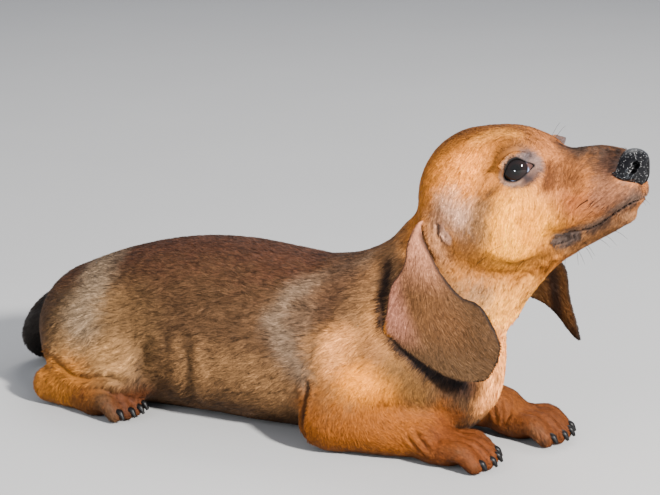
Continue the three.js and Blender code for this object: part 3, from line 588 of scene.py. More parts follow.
# Creases: a frame, the fold's width and depth, how far the skin swells beside it, and its path. Each crease
# is also painted darker by its depth, as painted shade.
CREASES = [
    ("head", 3.4, 0.6, 0, (9.9, 25.4, 16.9), (9.9, 23.1, 21.2), (11.9, 20.3, 25.5), (14.9, 17.8, 29),
        (20.7, 16.8, 31), (26.7, 16.8, 30.3)),
    ("head", 0.9, 0.5, 0, (18.2, 26.6, 14.6), (15.7, 26.8, 12), (12.8, 27.4, 9.8)),
    ("head", 2.2, 0.5, 0.1, (35.7, 13.6, 21.7), (37.4, 14.3, 17.2), (36.7, 15.3, 13.6)),
    ("head", 1.3, 0.9, 0.4, (-14.4, 24.3, -6.8), (-11.4, 25.3, -9.3), (-8.2, 26.7, -11.7)),
    ("head", 0.8, 1, 0.3, (-15.5, 24.2, -7), (-15.6, 24.6, -13)),
    ("head", 2.4, 0.45, 0.2, (10, 26, -21), (14.1, 25.3, -22.3), (21.3, 20.9, -24.3), (26.5, 15.2, -23.7),
        (33.2, 12.7, -20.8), (37.4, 11.8, -18.6)),
    ("head", 0.7, 0.8, 0.4, (39.2, 12, -12.7), (42, 11, -12.6), (45.4, 9.9, -11.6)),
    ("head", 0.7, 0.8, 0.4, (40.2, 11.6, -15), (44, 10.2, -14.2), (47.6, 9.4, -11.9)),
    ("head", 5, -0.5, 0, (57, 13.6, 5), (62, 13, 7)),
    ("body", 1, 0.8, 0.7, (115.8, 8, 103.7), (111.1, 6.2, 98.9), (104.6, 2.6, 90.3), (97.4, 2.5, 79.8),
        (91.5, 1, 70.4), (86.2, 1, 61.7)),
    ("body", 1, 0.6, 0.6, (110.3, 9.5, 100), (103.3, 6.1, 88.8), (97, 5, 78.9), (90, 5, 68)),
    ("body", 1.6, 0.5, 0.4, (102.5, 9.8, 95.3), (98.4, 10.9, 90.5), (95.2, 12.1, 85.9), (92, 12.2, 79.6),
        (88.8, 11.7, 73.1)),
    ("body", 1.7, 2.4, 1, (1.5, 42.6, 34), (1.3, 42.9, 30.7), (2.9, 47.8, 24.6), (2.2, 49.6, 17.3),
        (2, 48, 8)),
    ("body", 3.4, 1.3, 0.9, (-65.6, 47.7, 47), (-65.3, 46.6, 34.6), (-67.5, 41, 20), (-70, 33, 10)),
    ("body", 1.6, 1.7, 0.9, (-154.8, 42.7, 28.3), (-144.6, 47.2, 24.5), (-135, 51.9, 21.8),
        (-126.4, 53.4, 20.3), (-112.1, 53.3, 23), (-102, 51, 22)),
    ("body", 3.2, 1.2, 0.5, (-89.1, 45.8, 41.4), (-95.5, 45.8, 30), (-95, 45, 18)),
    ("body", 1.6, 0.8, 0.6, (83, 3, 48), (84, 2.4, 36), (84, 2, 24)),
    ("right", 1.1, 0.7, 0.6, (56.9, -39.7, 18.3), (61.3, -39.8, 14), (66, -40.6, 10)),
    ("right", 1.1, 0.5, 0.5, (52.4, -39.5, 19.5), (56, -41, 14), (60, -41, 9)),
    ("right", 1, 0.5, 0.4, (60.6, -36.5, 21.5), (66.5, -36.5, 17.5), (71.5, -38, 12)),
    ("left", 1.1, 0.6, 0.5, (74, 20, 24), (78.5, 22.5, 20), (83, 16.5, 12)),
    ("left", 1.1, 0.5, 0.5, (69, 21, 25), (73, 18, 18), (76, 15.5, 11)),
]


def toe_gaps():
    """The creases between the toes of each paw."""
    for at, shape, name in PAWS:
        for across in TOE_GAPS:
            reach, y = toe_line(across, shape["half"], shape["length"])
            tip = reach * 1.02
            path = [(reach * 0.45, y * 0.9, 15.2), (reach * 0.78, y, 14.2), (tip, y, 8), (tip, y, 2)]
            yield name, 1.0, 0.9, 0.2, *(tuple(at @ Vector(p)) for p in path)


CREASES += list(toe_gaps())


def frames_of(p):
    """The points as each frame of the markings sees them: head and body have two like sides."""
    mirror = np.array([1, -1, 1])
    head = brought_back(p, HEAD)
    return {
        "head": np.where(head[:, 1:2] < 0, head * mirror, head),
        "body": np.where(p[:, 1:2] < 0, p * mirror, p),
        "right": p, "left": p,
    }


def within(q, path, reach, ear):
    """Which points off the ears lie in a path's box."""
    return np.flatnonzero(((q > path.min(0) - reach) & (q < path.max(0) + reach)).all(1) & ~ear)


def creased(p, ear):
    """How far creases move each point along its normal, and how much shade is painted into them there."""
    shift, dark = np.zeros(len(p)), np.zeros(len(p))
    frames = frames_of(p)
    for kind, width, depth, swell, *path in CREASES:
        rows = smooth_rows(path, 4) if len(path) > 2 else np.array(path, float)
        near = within(frames[kind], rows, 4 * width, ear)
        q = frames[kind][near]
        d = path_distance(q, rows) / width
        ends = np.minimum(np.linalg.norm(q - rows[0], axis=1), np.linalg.norm(q - rows[-1], axis=1))
        fade = 0.25 + 0.75 * ramp(ends, 0, 3 * width)
        shift[near] += fade * (-depth * np.exp(-d * d) + swell * np.exp(-((d - 2.1) ** 2)))
        # painted shade: each crease is darker towards its middle
        dark[near] += fade * np.clip(depth, 0, 1.5) * np.exp(-((d * 1.25) ** 2))
    return shift, np.clip(dark, 0, 1)


def path_distance(p, path):
    path = np.asarray(path, float)
    least = np.full(len(p), 1e9)
    for a, b in zip(path, path[1:]):
        e = b - a
        t = np.clip((p - a) @ e / max(e @ e, 1e-9), 0, 1)
        least = np.minimum(least, np.linalg.norm(p - a - t[:, None] * e, axis=1))
    return least


def on_ear(p):
    return FLAPS["right"].holds(p) | FLAPS["left"].holds(p)


# The skin, thinned to its number of triangles
points, faces = skin_surface()
points = smoothed(points, faces)
points += creased(points, on_ear(points))[0][:, None] * vertex_normals(points, faces)
skin = mesh_object("skin", points, faces)
thin = skin.modifiers.new("thin", "DECIMATE")
thin.ratio = SKIN_TRIANGLES / len(faces)
depsgraph = bpy.context.evaluated_depsgraph_get()
dense = skin.data
skin.data = bpy.data.meshes.new_from_object(skin.evaluated_get(depsgraph))
skin.modifiers.clear()
bpy.data.meshes.remove(dense)
skin.data.name = "skin"
skin.data.shade_smooth()


def wire(tree, target, inputs):
    """Gives a shader node's inputs their values, or the outputs of other nodes."""
    for key, value in inputs.items():
        socket = target.inputs[key.replace("_", " ")]
        if isinstance(value, bpy.types.NodeSocket):
            tree.links.new(value, socket)
        else:
            socket.default_value = value


def node(tree, kind, settings=(), **inputs):
    made = tree.nodes.new("ShaderNode" + kind)
    for key, value in settings:
        setattr(made, key, value)
    wire(tree, made, inputs)
    return made


def material(name, colour=(0.5, 0.5, 0.5), roughness=0.5, **values):
    made = bpy.data.materials.new(name)
    made.use_nodes = True
    shader = made.node_tree.nodes["Principled BSDF"]
    wire(made.node_tree, shader, {"Base Color": (*colour, 1), "Roughness": roughness, **values})
    return made, made.node_tree, shader


def marked(tree):
    """The colours that a mesh carries."""
    return node(tree, "Attribute", [("attribute_name", "markings")]).outputs["Color"]


GRAIN_SCALE = 900  # cells per metre


def painted(name, roughness, **values):
    """A material coloured by the markings, with fine grain."""
    made, tree, shader = material(name, roughness=roughness, **values)
    where = node(tree, "TexCoord").outputs["Object"]
    grain = node(tree, "TexNoise", Vector=where, Scale=GRAIN_SCALE, Detail=3).outputs["Fac"]
    level = node(tree, "MapRange", Value=grain, From_Min=0.3, From_Max=0.7, To_Min=0.82, To_Max=1.14)
    shade = node(tree, "VectorMath", [("operation", "SCALE")], Vector=marked(tree), Scale=level.outputs[0])
    bump = node(tree, "Bump", Strength=0.35, Distance=0.0002, Height=grain)
    wire(tree, shader, {"Base Color": shade.outputs["Vector"], "Normal": bump.outputs["Normal"]})
    return made


# Markings: colours by place, mixed in order
def tone(text):
    """The linear colour of a hex tone."""
    parts = np.array([int(text[n:n + 2], 16) for n in (0, 2, 4)]) / 255
    return np.where(parts <= 0.04045, parts / 12.92, ((parts + 0.055) / 1.055) ** 2.4)


# Frame, reach, softness, tone, strength and path; head and body rows hold for both sides
MARKS = [
    ("body", 10, 18, "a6805a", 0.85, (-112, 44, 56), (-100, 46, 44)),
    ("body", 5, 18, "bc9672", 0.9, (-62, 46, 30), (-41, 46, 31), (-18, 43, 26)),
    ("body", 12, 30, "7a4a32", 0.95, (-140, 0, 72), (-60, 0, 90), (0, 0, 86), (30, 0, 92)),
    ("body", 8, 18, "bc906b", 0.85, (15, 20, 84), (30, 18, 96), (42, 14, 106)),
    ("body", 2, 9, "a98565", 0.6, (34, 17, 95), (35.7, 28, 82.4), (36.5, 36.6, 69.6)),
    ("body", 10, 20, "a3825f", 0.8, (-135, 40, 50), (-135, 48, 36)),
    # painted sheen: a pale grey band down the haunch
    ("body", 4, 13, "b9a591", 0.85, (-141, 4, 73), (-137.6, 14.4, 71.7), (-132.3, 31.4, 63.9),
        (-131, 41, 52), (-132, 47, 40.6)),
    ("body", 5, 14, "8a5c36", 0.7, (-158, 30, 30), (-157, 40, 18)),
    ("body", 4, 13, "cdab88", 0.85, (-140, 47, 30), (-125, 50, 27), (-112, 50, 28)),
    ("body", 8, 12, "cb9056", 0.95, (-152, 48, 14), (-140, 52, 15), (-128, 50, 14)),
    ("body", 7, 9, "7c401b", 0.95, (-122, 46, 9), (-100, 46, 7)),
    # painted sheen: grey-brown bands over the shoulder, the fainter one first
    ("body", 5, 12, "94765e", 0.7, (-6, 38, 70), (-8, 41, 58), (0, 42, 48)),
    ("body", 1, 8, "a8917d", 0.75, (20, 12, 92), (2, 20, 86), (-14, 30, 75), (-18.4, 40.8, 62),
        (-8.5, 43.4, 49.8), (-0.6, 42.5, 38)),
    ("body", 9, 18, "d2a67d", 0.9, (34, 40, 62), (24, 44, 46), (26, 45, 36)),
    ("body", 6, 9, "7b563d", 0.85, (4, 8, 88), (11, 20, 82.5), (11, 32, 72)),
    ("body", 4, 8, "ae8562", 0.8, (22, 31, 77), (22, 37.5, 67)),
    ("body", 4, 9, "e6c2a2", 0.9, (21, 41, 56), (17, 43.5, 44)),
    ("body", 3, 8, "c2926a", 0.8, (36, 43, 57), (38, 43, 53)),
    ("body", 5, 10, "f0c491", 0.9, (30, 46.5, 40), (40, 45, 37)),
    ("body", 9, 15, "bb7233", 0.95, (12, 45, 16), (40, 42, 19), (62, 32, 14)),
    ("body", 3, 9, "a4743f", 0.8, (48, 42.5, 48), (51, 41.4, 45.5), (58, 36, 36)),
    ("body", 11, 13, "98501f", 0.95, (72, 29, 8), (108, 28, 5)),
    ("body", 8, 14, "d3b498", 0.95, (70, 25, 102), (80, 23, 94), (84, 21, 84)),
    ("body", 2, 8, "b79c88", 0.7, (81.3, 23.6, 97), (83.8, 20.9, 89.5), (86, 18, 82)),
    ("body", 6, 11, "f0cfae", 1, (106, 8, 96), (98, 9, 86), (92, 9, 78), (87, 4, 66), (84, 2, 56)),
    ("body", 5, 9, "e8c4a6", 0.95, (82, 4, 58), (82, 5, 40), (82, 4, 28)),
    ("left", 7, 9, "a35e28", 0.9, (62, 28, 18), (80, 24, 17), (96, 27, 10)),
    ("left", 8, 8, "8a4a1f", 0.85, (98, 27, 8), (112, 27, 5)),
    # painted shadow under the near ear, on the chest
    ("body", 3, 7, "4e3022", 0.85, (78, 19, 46), (77.2, 18.3, 38), (72.1, 24.5, 42)),
    # painted shadow beside and under the near ear's rear and lower edges
    ("right", 1.6, 3, "1f1410", 0.95, (33.6, -17, 93.5), (35.2, -24.5, 86.5), (37, -32, 79),
        (39.4, -38, 69), (43.4, -39.6, 63.4), (50, -39, 59), (60, -35, 51), (67.5, -29.5, 44), (75, -21, 40)),
    # painted shade in the armpit crease
    ("body", 0.5, 2.4, "2a1a12", 0.9, (1.3, 42.9, 31), (2.9, 47.8, 24.6), (2.2, 49.6, 14)),
    ("body", 11, 11, "3a322d", 1, (-164, 0, 43), (-201, 9, 16), (-198, 38, 6), (-152, 72, 3)),
    # painted highlight along the tail
    ("right", 0.6, 3.4, "8d8580", 0.8, (-193, -8, 37), (-202, -5, 24), (-206, 2, 14)),
    ("head", 36, 15, "d49a64", 1, (0, 0, 0), (20, 0, 4), (34, 0, 6)),
    # painted sheen on the side of the forehead
    ("head", 5, 15, "eec39c", 0.95, (0.9, 21.2, 24.2), (-5.6, 24.3, 17.3), (-9, 25.5, 10)),
    ("head", 10, 14, "a6662f", 0.8, (-6, 0, 34), (14, 0, 35), (28, 0, 30)),
    # painted highlight along the brow ridge
    ("head", 0.4, 4.4, "e9c49c", 0.5, (1.8, 13.9, 31.6), (6.5, 10.4, 34), (13, 7.5, 35.3), (21.4, 9.3, 33.5)),
    # painted shade in the hollow above and behind the eye
    ("head", 1.6, 7, "c68a58", 0.65, (12, 27.5, 13), (11.5, 24.5, 21.2), (13.5, 21.3, 25.5), (17, 18.8, 29),
        (23, 16.8, 31), (29, 15, 30)),
    # painted sheen: a pale grey patch on the temple
    ("head", 2.4, 12, "e2d2c8", 0.8, (-8, 27.4, 2.4), (-4, 28.8, 1), (0, 29.6, -2), (3, 29.6, -6)),
    ("head", 6, 14, "f4cc9a", 0.95, (29.6, 24.4, -3), (23, 27, -7), (22.6, 26.4, -13)),
    ("head", 1.5, 6, "e0a66c", 0.65, (30.5, 23.5, 2), (31, 22.6, -5)),
    # painted shade on the lower temple, above the cheek
    ("head", 1.6, 6, "a67d5d", 0.85, (12, 28, 5), (8.5, 30, 0.2), (9, 29.2, -7), (4, 29, -11)),
    ("head", 0.6, 4.5, "d89a5c", 0.6, (34.5, 21, 3), (34, 21, -1)),
    ("head", 0.6, 3.6, "e0a468", 0.5, (29.5, 23, -9.5), (31, 21.5, -10.5)),
    ("head", 14, 14, "cf956c", 0.9, (42, 0, 18), (60, 0, 10), (72, 0, 8)),
    # painted shade along the fold before the eye
    ("head", 1.3, 3.6, "7a401a", 0.9, (37, 12.4, 22), (38.4, 13.4, 17.5), (37.6, 14.8, 14.6)),
    ("head", 2.5, 7, "c67d54", 0.75, (52, 15.4, 6.4), (58, 14.6, 6), (64, 12.7, 5.2)),
    ("head", 1.5, 5, "cf946c", 0.65, (57, 14.4, 1.3), (64, 12.5, 2.5)),
    ("head", 2.5, 8, "7b5843", 0.85, (46, 0, 27.5), (60.4, 4, 26), (68, 0, 26)),
    ("head", 2, 5, "8a6046", 0.8, (58.5, 8.3, 24), (61, 8.2, 22.8), (64, 9, 20.5)),
    ("head", 1.6, 3.6, "55392c", 0.9, (64, 4.6, 27), (65.5, 7.6, 24.6), (67, 9, 21.6)),
    ("head", 1.3, 2.6, "241a18", 0.95, (69.5, 4.4, 28.6), (71, 7, 26), (70.5, 8.6, 23.6), (69.2, 9.6, 20.6)),
    ("head", 0.1, 0.9, "d0c6be", 0.55, (70, 10.4, 16.6), (72, 10, 16), (74, 9.4, 15)),
    ("head", 0.1, 1.2, "b58871", 0.5, (46, 4.8, 28), (56, 5.4, 28.6), (63, 5.2, 28.6)),
    ("head", 0.5, 2.8, "3c261c", 0.85, (36, 0, 28.6), (50, 0, 29.4), (66, 0, 29.6)),
    # painted shade in the crease behind the eye
    ("head", 0.2, 2, "5a3c2a", 0.75, (17.6, 26.6, 14), (15.7, 26.8, 12), (13.6, 27.3, 10.4)),
    ("head", 3, 8, "c9a288", 0.75, (-15, 23, -2), (-13, 24.6, -18)),
    ("head", 3, 9, "c98f58", 0.8, (-4, 27, -15), (3, 26.5, -18)),
    ("head", 1.2, 3, "e6d3c8", 0.95, (-12.8, 24.6, -7.6), (-11.4, 25.3, -9.3), (-9.6, 26.3, -11.2)),
    # painted shade in the crease behind the fold at the ear's root
    ("head", 0.3, 1.8, "4c3326", 0.85, (-15.2, 24.3, -6), (-14.6, 24.6, -11.5), (-12, 26, -14.5)),
    # painted shade in the fold under the jaw
    ("head", 1, 6, "c58b52", 0.7, (8, 26, -20), (14.1, 25.3, -22.3), (21.3, 20.9, -24.3),
        (26.5, 15.2, -23.7), (33.2, 12.7, -20.8), (37.4, 11.8, -18.6)),
    ("head", 2.5, 6, "a5683c", 0.75, (43.2, 11.4, 19.7), (48.1, 11.6, 17.4)),
    ("head", 4, 6, "aa7a60", 0.8, (65, 12, 13), (70.6, 10.9, 9.9), (65, 12.9, 9)),
    ("head", 1.6, 4, "75594a", 0.8, (70, 9, 3.6), (72.5, 8.6, 5.4), (76.4, 6.4, 8.6)),
    ("head", 1.5, 4, "6b5546", 0.7, (50, 3, 27.6), (60, 4, 27)),
    ("head", 4, 7, "be916d", 0.85, (46, 8, -15), (60, 5, -9), (70, 0, -3)),
    ("head", 0.8, 3.6, "8f5a2c", 0.7, (66, 4, -8.5), (56, 6, -13.5), (47, 8, -17)),
    ("head", 0.8, 2.2, "4c3a30", 0.75, (55.5, 11, -8.8), (61, 10, -5.6)),
    ("head", 1.2, 4, "75594c", 0.7, (76, 6, 8.5), (78, 4, 11)),
    ("head", 1.6, 4, "94735a", 0.7, (72.5, 4.8, 0.8), (69.5, 5.4, -2)),
    ("head", 1.4, 2.6, "4e3a30", 0.8, (56.5, 8, -7.4), (60, 7.8, -6), (63.5, 7.3, -4.2)),
    ("head", 2, 2.4, "61534d", 0.95, (40.6, 12.6, -13.2), (44.9, 9.9, -13), (48.7, 9.3, -11)),
    # painted shade in the two folds at the corner of the mouth
    ("head", 0.1, 0.9, "2c2220", 0.8, (39.2, 12, -11.6), (42, 11, -11.4), (45.4, 9.9, -10.6)),
    ("head", 0.1, 0.9, "2c2220", 0.8, (39.6, 12, -15.2), (43, 10.6, -14.6), (47.6, 9.4, -12)),
    ("head", 0.5, 2.6, "dba063", 0.6, (27.6, 25, 1), (28, 25, -3)),
]
TAIL_ROOT_X = TAIL[0][0]
BODY_TONE = "7f5a3b"
# How far the grey skin reaches round an eye: degrees from the front, towards the top, then millimetres
GREY_RING = [
    (-180, 1), (-150, 2.6), (-125, 3.8), (-90, 4.8), (-60, 6.4), (-30, 5.6), (0, 4.4), (30, 4.8), (66, 3.6),
    (85, 1.6), (105, 0.9), (180, 1),
]
LIP_TONE, LIP_EDGE_TONE = "43322a", "8d7668"
# painted shade: the skin between the blades is painted darker than the coat, as the shade under it
SKIN_SHADE = 0.8  # how bright the skin is beside its coat


LIGHT = 3.6  # how bright the studio light makes a white coat
BRIGHTEST = 0.92
# How a camera's curve mixes the channels, before it bends them and after
BEFORE = np.array([(0.56, 0.38, 0.06), (-0.02, 1.12, -0.1), (0.09, 0.19, 0.72)])
AFTER = np.array([(1.92, -0.67, -0.25), (-0.01, 1.03, -0.02), (-0.25, -0.16, 1.41)])


def seen(text):
    """The colour of a coat that, in this light, looks like a tone on a screen."""
    look = np.clip(BEFORE @ tone(text), 1e-4, 0.98)
    light = AFTER @ (0.527 * look**0.773 / (1 - look) ** 1.33) / LIGHT
    return np.clip(light * min(1, BRIGHTEST / light.max()) ** 0.35, max(0.003, 0.012 * light[0]), BRIGHTEST)


def tinted(colour, tint, amount):
    """Colours mixed towards a tone, or a colour, by an amount at each."""
    return mix(colour, seen(tint) if isinstance(tint, str) else tint, amount[:, None])


def ear_tones(p, n):
    """Colours of the ear flaps: paler at the rear edge and, as painted sheen, towards the root; black at the
    rim with a painted highlight on the curled corner; golden inside with painted shade along the fold.
    """
    colour = np.zeros((len(p), 3))
    for name, side in SIDES.items():
        pick = np.flatnonzero(p[:, 1] * side > 0)
        (x, _, z), out = p[pick].T, n[pick, 1] * side
        rim = -rim_distance(EAR_RIM[name], x, z)
        fore = x - 0.45 * (95 - z)  # across the ear, from its rear edge to its front
        corner = 1 - ramp(np.hypot(x - EAR_CORNER[0], z - EAR_CORNER[1]), 2, 8)
        edge = (1 - ramp(rim, 0.5, 2.0)) * ramp(118 - z, 0, 8)
        outer = tinted(seen("84603f"), "97673f", ramp(z, 52, 76))
        # painted sheen: paler pink-grey towards the root
        outer = tinted(outer, "d7af9b", ramp(z, 84, 112))
        outer = tinted(outer, "d9b1a2", ramp(-fore, -50, -38) * ramp(z, 58, 75) * 0.85)
        outer = tinted(outer, "74502f", ramp(fore, 62, 78) * 0.85)
        outer = tinted(outer, "1d1512", edge * (1 - corner) * 0.92)
        # painted highlight: the curled lower rear corner catches the light in gold
        outer = tinted(outer, "cf9256", corner * (1 - ramp(rim, 1, 3)))
        inner = tinted(seen("8a5a30"), "8f6238", ramp(96 - x, 0, 10))
        middle = np.abs(x - (98 + 0.15 * (80 - z)))
        # painted shade along the fold down the middle of the inner face
        inner = tinted(inner, "38241a", (1 - ramp(middle, 1.5, 5)) * ramp(100 - z, 0, 16) * 0.9)
        inner = tinted(inner, "1f1612", (1 - ramp(z, 54, 68)) * 0.9)
        inner = tinted(inner, "241a14", edge * 0.8)
        colour[pick] = tinted(inner, outer, ramp(out, -0.25, 0.25))
    return colour


def lip_tones(colour, head, ear):
    """Darkens the line between the lips, and the edge of the upper lip."""
    lips = (head[:, 0] > MOUTH_CORNER - 1) & (head[:, 0] < 82) & (np.abs(head[:, 2]) < 24) & ~ear
    above = head[:, 2] - mouth_height(head[:, 0])
    edge = np.exp(-(((above - 1.6) / 1.6) ** 2)) * ramp(head[:, 0], MOUTH_CORNER, MOUTH_CORNER + 5)
    colour[lips] = tinted(colour[lips], LIP_EDGE_TONE, edge[lips] * 0.7)
    line = (1 - ramp(np.abs(above + 0.3), 0.4, 1.4)) * ramp(head[:, 0], MOUTH_CORNER - 1, MOUTH_CORNER + 2)
    colour[lips] = tinted(colour[lips], LIP_TONE, line[lips] * 0.92)


def eye_tones(colour, p, wobble):
    """The skin round the eyes: grey with two darker patches, pale at the rear, with a black margin that
    painted shade widens under the upper lid.
    """
    ring, grey, deep, pale, below = np.zeros((5, len(p)))
    for side in SIDES.values():
        near = np.flatnonzero(np.linalg.norm(p - eye_centre(side), axis=1) < 14)
        q = brought_back(p[near], eye_frame(side))
        rim = rim_distance(LIDS, q[:, 0], q[:, 2], 3)
        angle = np.degrees(np.arctan2(q[:, 2], q[:, 0]))
        reach = np.interp(angle, *zip(*GREY_RING))
        grey[near] = 1 - ramp(rim + 2.2 * wobble[near], 0.6 * reach, 1.2 * reach)
        patches = np.exp(-(((angle + 63) / 30) ** 2)) + np.exp(-(((angle - 38) / 26) ** 2))
        deep[near] = patches * (1 - ramp(rim + 1.8 * wobble[near], 3.6, 7.0))
        pale[near] = np.exp(-(((rim - 1.7) / 0.7) ** 2)) * ramp(np.abs(angle), 70, 110)
        below[near] = ramp(-angle, -10, 30)
        # painted shade: the black margin widens along the top, under the upper lid
        painted_lid_shade = ramp(np.abs(angle - 115), 65, 30)
        ring[near] = 1 - ramp(rim, 0.4 + 0.7 * painted_lid_shade, 0.9 + 0.8 * painted_lid_shade)
    colour = tinted(colour, tinted(seen("a08f8b"), "837370", below), grey * 0.85)
    colour = tinted(colour, tinted(seen("6e6364"), "443c40", below), np.minimum(deep, 1) * 0.9)
    colour = tinted(colour, "c8b2a6", pale * 0.6)
    return tinted(colour, "151011", ring)


def markings(p, n, ear):
    """The colours of the coat at points with normals, with painted shade in the creases and painted shadow,
    shade, sheen and highlights among the marks.
    """
    colour = np.tile(seen(BODY_TONE), (len(p), 1))
    frames = frames_of(p)
    wobble = (lattice(p / 7, 7) - 0.5) * 0.5 + (lattice(p / 1.4, 8) - 0.5) * 0.55
    for kind, reach, soft, text, strength, *path in MARKS:
        rows = np.array(path, float)
        near = within(frames[kind], rows, reach + 1.8 * soft, ear)
        if kind == "body" and path[0][0] == TAIL_ROOT_X:
            near = near[p[near, 1] > -14]  # the tail bends to one side only
        far = path_distance(frames[kind][near], rows) + wobble[near] * soft
        amount = strength * (1 - ramp(far, reach - 0.2 * soft, reach + 1.2 * soft))
        colour[near] = tinted(colour[near], text, amount)
    lip_tones(colour, frames["head"], ear)
    colour = eye_tones(colour, p, wobble)
    colour[ear] = ear_tones(p[ear], n[ear])
    # painted shade: the coat is darkened in the creases
    return colour * (1 - 0.5 * creased(p, ear)[1])[:, None]


# The lie of the coat: paths that it follows, with their reach. Those of the legs hold for both sides.
LEG_FLOWS = [
    ([(12, 37, 17), (60, 29, 13), (90, 29, 6)], 17), ([(-120, 42, 40), (-150, 44, 12)], 18),
    ([(-150, 44, 9), (-100, 46, 6)], 10), ([(40, 34, 60), (12, 37, 16)], 18),
]
FLOWS = [
    ([(20, 0, 60), (-160, 0, 50)], 50),
    ([(60, 0, 120), (40, 0, 70)], 26),
    ([(95, 0, 96), (82, 0, 60), (70, 0, 20)], 24),
    *((np.array(path) * (1, hand, 1), reach) for path, reach in LEG_FLOWS for hand in (1, -1)),
    (TAIL_PATH, 14),
]
MUZZLE_TIP = from_head((76, 0, 14))
CHEEK_LIE = np.array([-0.22, 0, -1.0])


def lie(p, n, ear):
    total = np.zeros_like(p)
    for path, reach in FLOWS:
        path = np.asarray(path, float)
        for a, b in zip(path, path[1:]):
            total += np.exp(-((path_distance(p, [a, b]) / reach) ** 2))[:, None] * unit(b - a)
    total[:, 2] -= 0.12
    face = ramp(path_distance(p, [from_head((0, 0, 0)), MUZZLE_TIP]), 42, 26)[:, None]
    fore = brought_back(p, HEAD)[:, :1]
    down = ramp(np.abs(n[:, 1:2]), 0.3, 0.75) * (1 - 0.65 * ramp(fore, 44, 62))
    total = mix(unit(total), mix(unit(p - MUZZLE_TIP), CHEEK_LIE, down), face)
    for side in SIDES.values():
        eye = eye_centre(side)
        near = ramp(np.linalg.norm(p - eye, axis=1), EYE_RADIUS + 7, EYE_RADIUS + 2)[:, None]
        total = mix(total, unit(p - eye), near)
    total[ear, 0] = (p[ear, 0] - 52) / 28 * ramp(118 - p[ear, 2], 0, 34)
    total[ear, 1:] = (0, -1)
    total = total - n * np.einsum("ij,ij->i", total, n)[:, None]
    return unit(total)


def read_array(layer, key, width, kind):
    """A mesh's numbers, with so many to a row."""
    flat = np.empty(len(layer) * width, kind)
    layer.foreach_get(key, flat)
    return flat.reshape(-1, width)


where = read_array(skin.data.vertices, "co", 3, np.float32).astype(float) * PER_METRE + SHIFT
corners = read_array(skin.data.polygons, "vertices", 3, np.int32)
normals = vertex_normals(where, corners)
paint(skin.data, markings(where, normals, on_ear(where)) * SKIN_SHADE)
skin.data.materials.append(painted("coat_skin", 0.7, Specular_IOR_Level=0.1))

# The unwrap that the coat's patches lie on
bpy.context.view_layer.objects.active = skin
skin.select_set(True)
skin.data.uv_layers.new(name="OFBake")
bpy.ops.object.mode_set(mode="EDIT")
bpy.ops.mesh.select_all(action="SELECT")
bpy.ops.uv.smart_project(angle_limit=math.radians(75), island_margin=0.002)
bpy.ops.object.mode_set(mode="OBJECT")
unwrap = read_array(skin.data.uv_layers["OFBake"].data, "uv", 2, np.float32).reshape(-1, 3, 2)

# The coat: thin pointed blades that lie along the body. Each region has its blades per square millimetre,
# their length, breadth and stand, the contrast of light and dark streaks, and the streaks' length, breadth.
COAT = {
    "face_coat": (7.0, 2.2, 0.24, 0.3, 1.4, 2.4, 0.36),
    "ear_coat": (4.2, 3.4, 0.24, 0.3, 1.1, 7, 0.5),
    "body_coat": (2.4, 3.6, 0.3, 0.5, 1.5, 2.4, 0.65),
    "leg_coat": (3.6, 2.5, 0.25, 0.4, 0.6, 2, 0.5),
    "paw_coat": (5.0, 1.8, 0.22, 0.3, 0.7, 1.5, 0.5),
    "tail_coat": (2.6, 4.0, 0.3, 0.7, 0.8, 5, 0.9),
}
DENSITY, LENGTH, BREADTH, STAND, CONTRAST, STREAK_LENGTH, STREAK_BREADTH = np.array(list(COAT.values())).T
FACE, EAR, BODY, LEG, PAW, TAIL_END = range(len(COAT))
FORELEGS = [(12, 37, 17), (60, 29, 13), (90, 27, 8)], [(12, -37, 17), (60, -29, 13), (90, -29, 8)]
HIND_FEET = [[(HEEL[0], hand * HEEL[1], HEEL[2]), (-100, hand * 46, 8)] for hand in (1, -1)]


def region_of(p, ear):
    """The region of the coat that each point is in."""
    found = np.full(len(p), BODY)
    above_neck = (p - (40, 0, 113)) @ unit((0.263, 0, 0.965)) > 0
    found[above_neck | (path_distance(p, [(96, 0, 125), (150, 0, 140)]) < 30)] = FACE
    fore, hind = (np.minimum(*(path_distance(p, path) for path in pair)) for pair in (FORELEGS, HIND_FEET))
    found[(fore < 17) & (p[:, 0] > 0)] = LEG
    found[hind < 10] = LEG
    wide = np.abs(p[:, 1])
    forepaws = (p[:, 0] > 64) & (p[:, 2] < 24) & (wide > 12)
    hindpaws = (p[:, 0] > -134) & (p[:, 0] < -88) & (p[:, 2] < 17) & (wide > 28) & (hind < 18)
    found[forepaws | hindpaws] = PAW
    found[path_distance(p, TAIL_PATH) < 13] = TAIL_END
    found[ear] = EAR
    return found


def is_bare(p):
    """Where no hair grows: in and round the eyes, on the nose, under the body and between the lips."""
    bare = p[:, 2] < 0.6
    for side in SIDES.values():
        bare |= np.linalg.norm(p - eye_centre(side), axis=1) < EYE_RADIUS + 1.2
        bare |= eye_opening(side).far(*p.T) < 0.9
    bare |= Moved(NOSE[0], HEAD).far(*p.T) < 0.7
    x, y, z = brought_back(p, HEAD).T
    return bare | (np.abs(z - mouth_height(x) + 0.2) < 0.8) & (x > MOUTH_CORNER - 1) & (np.abs(y) < 16)


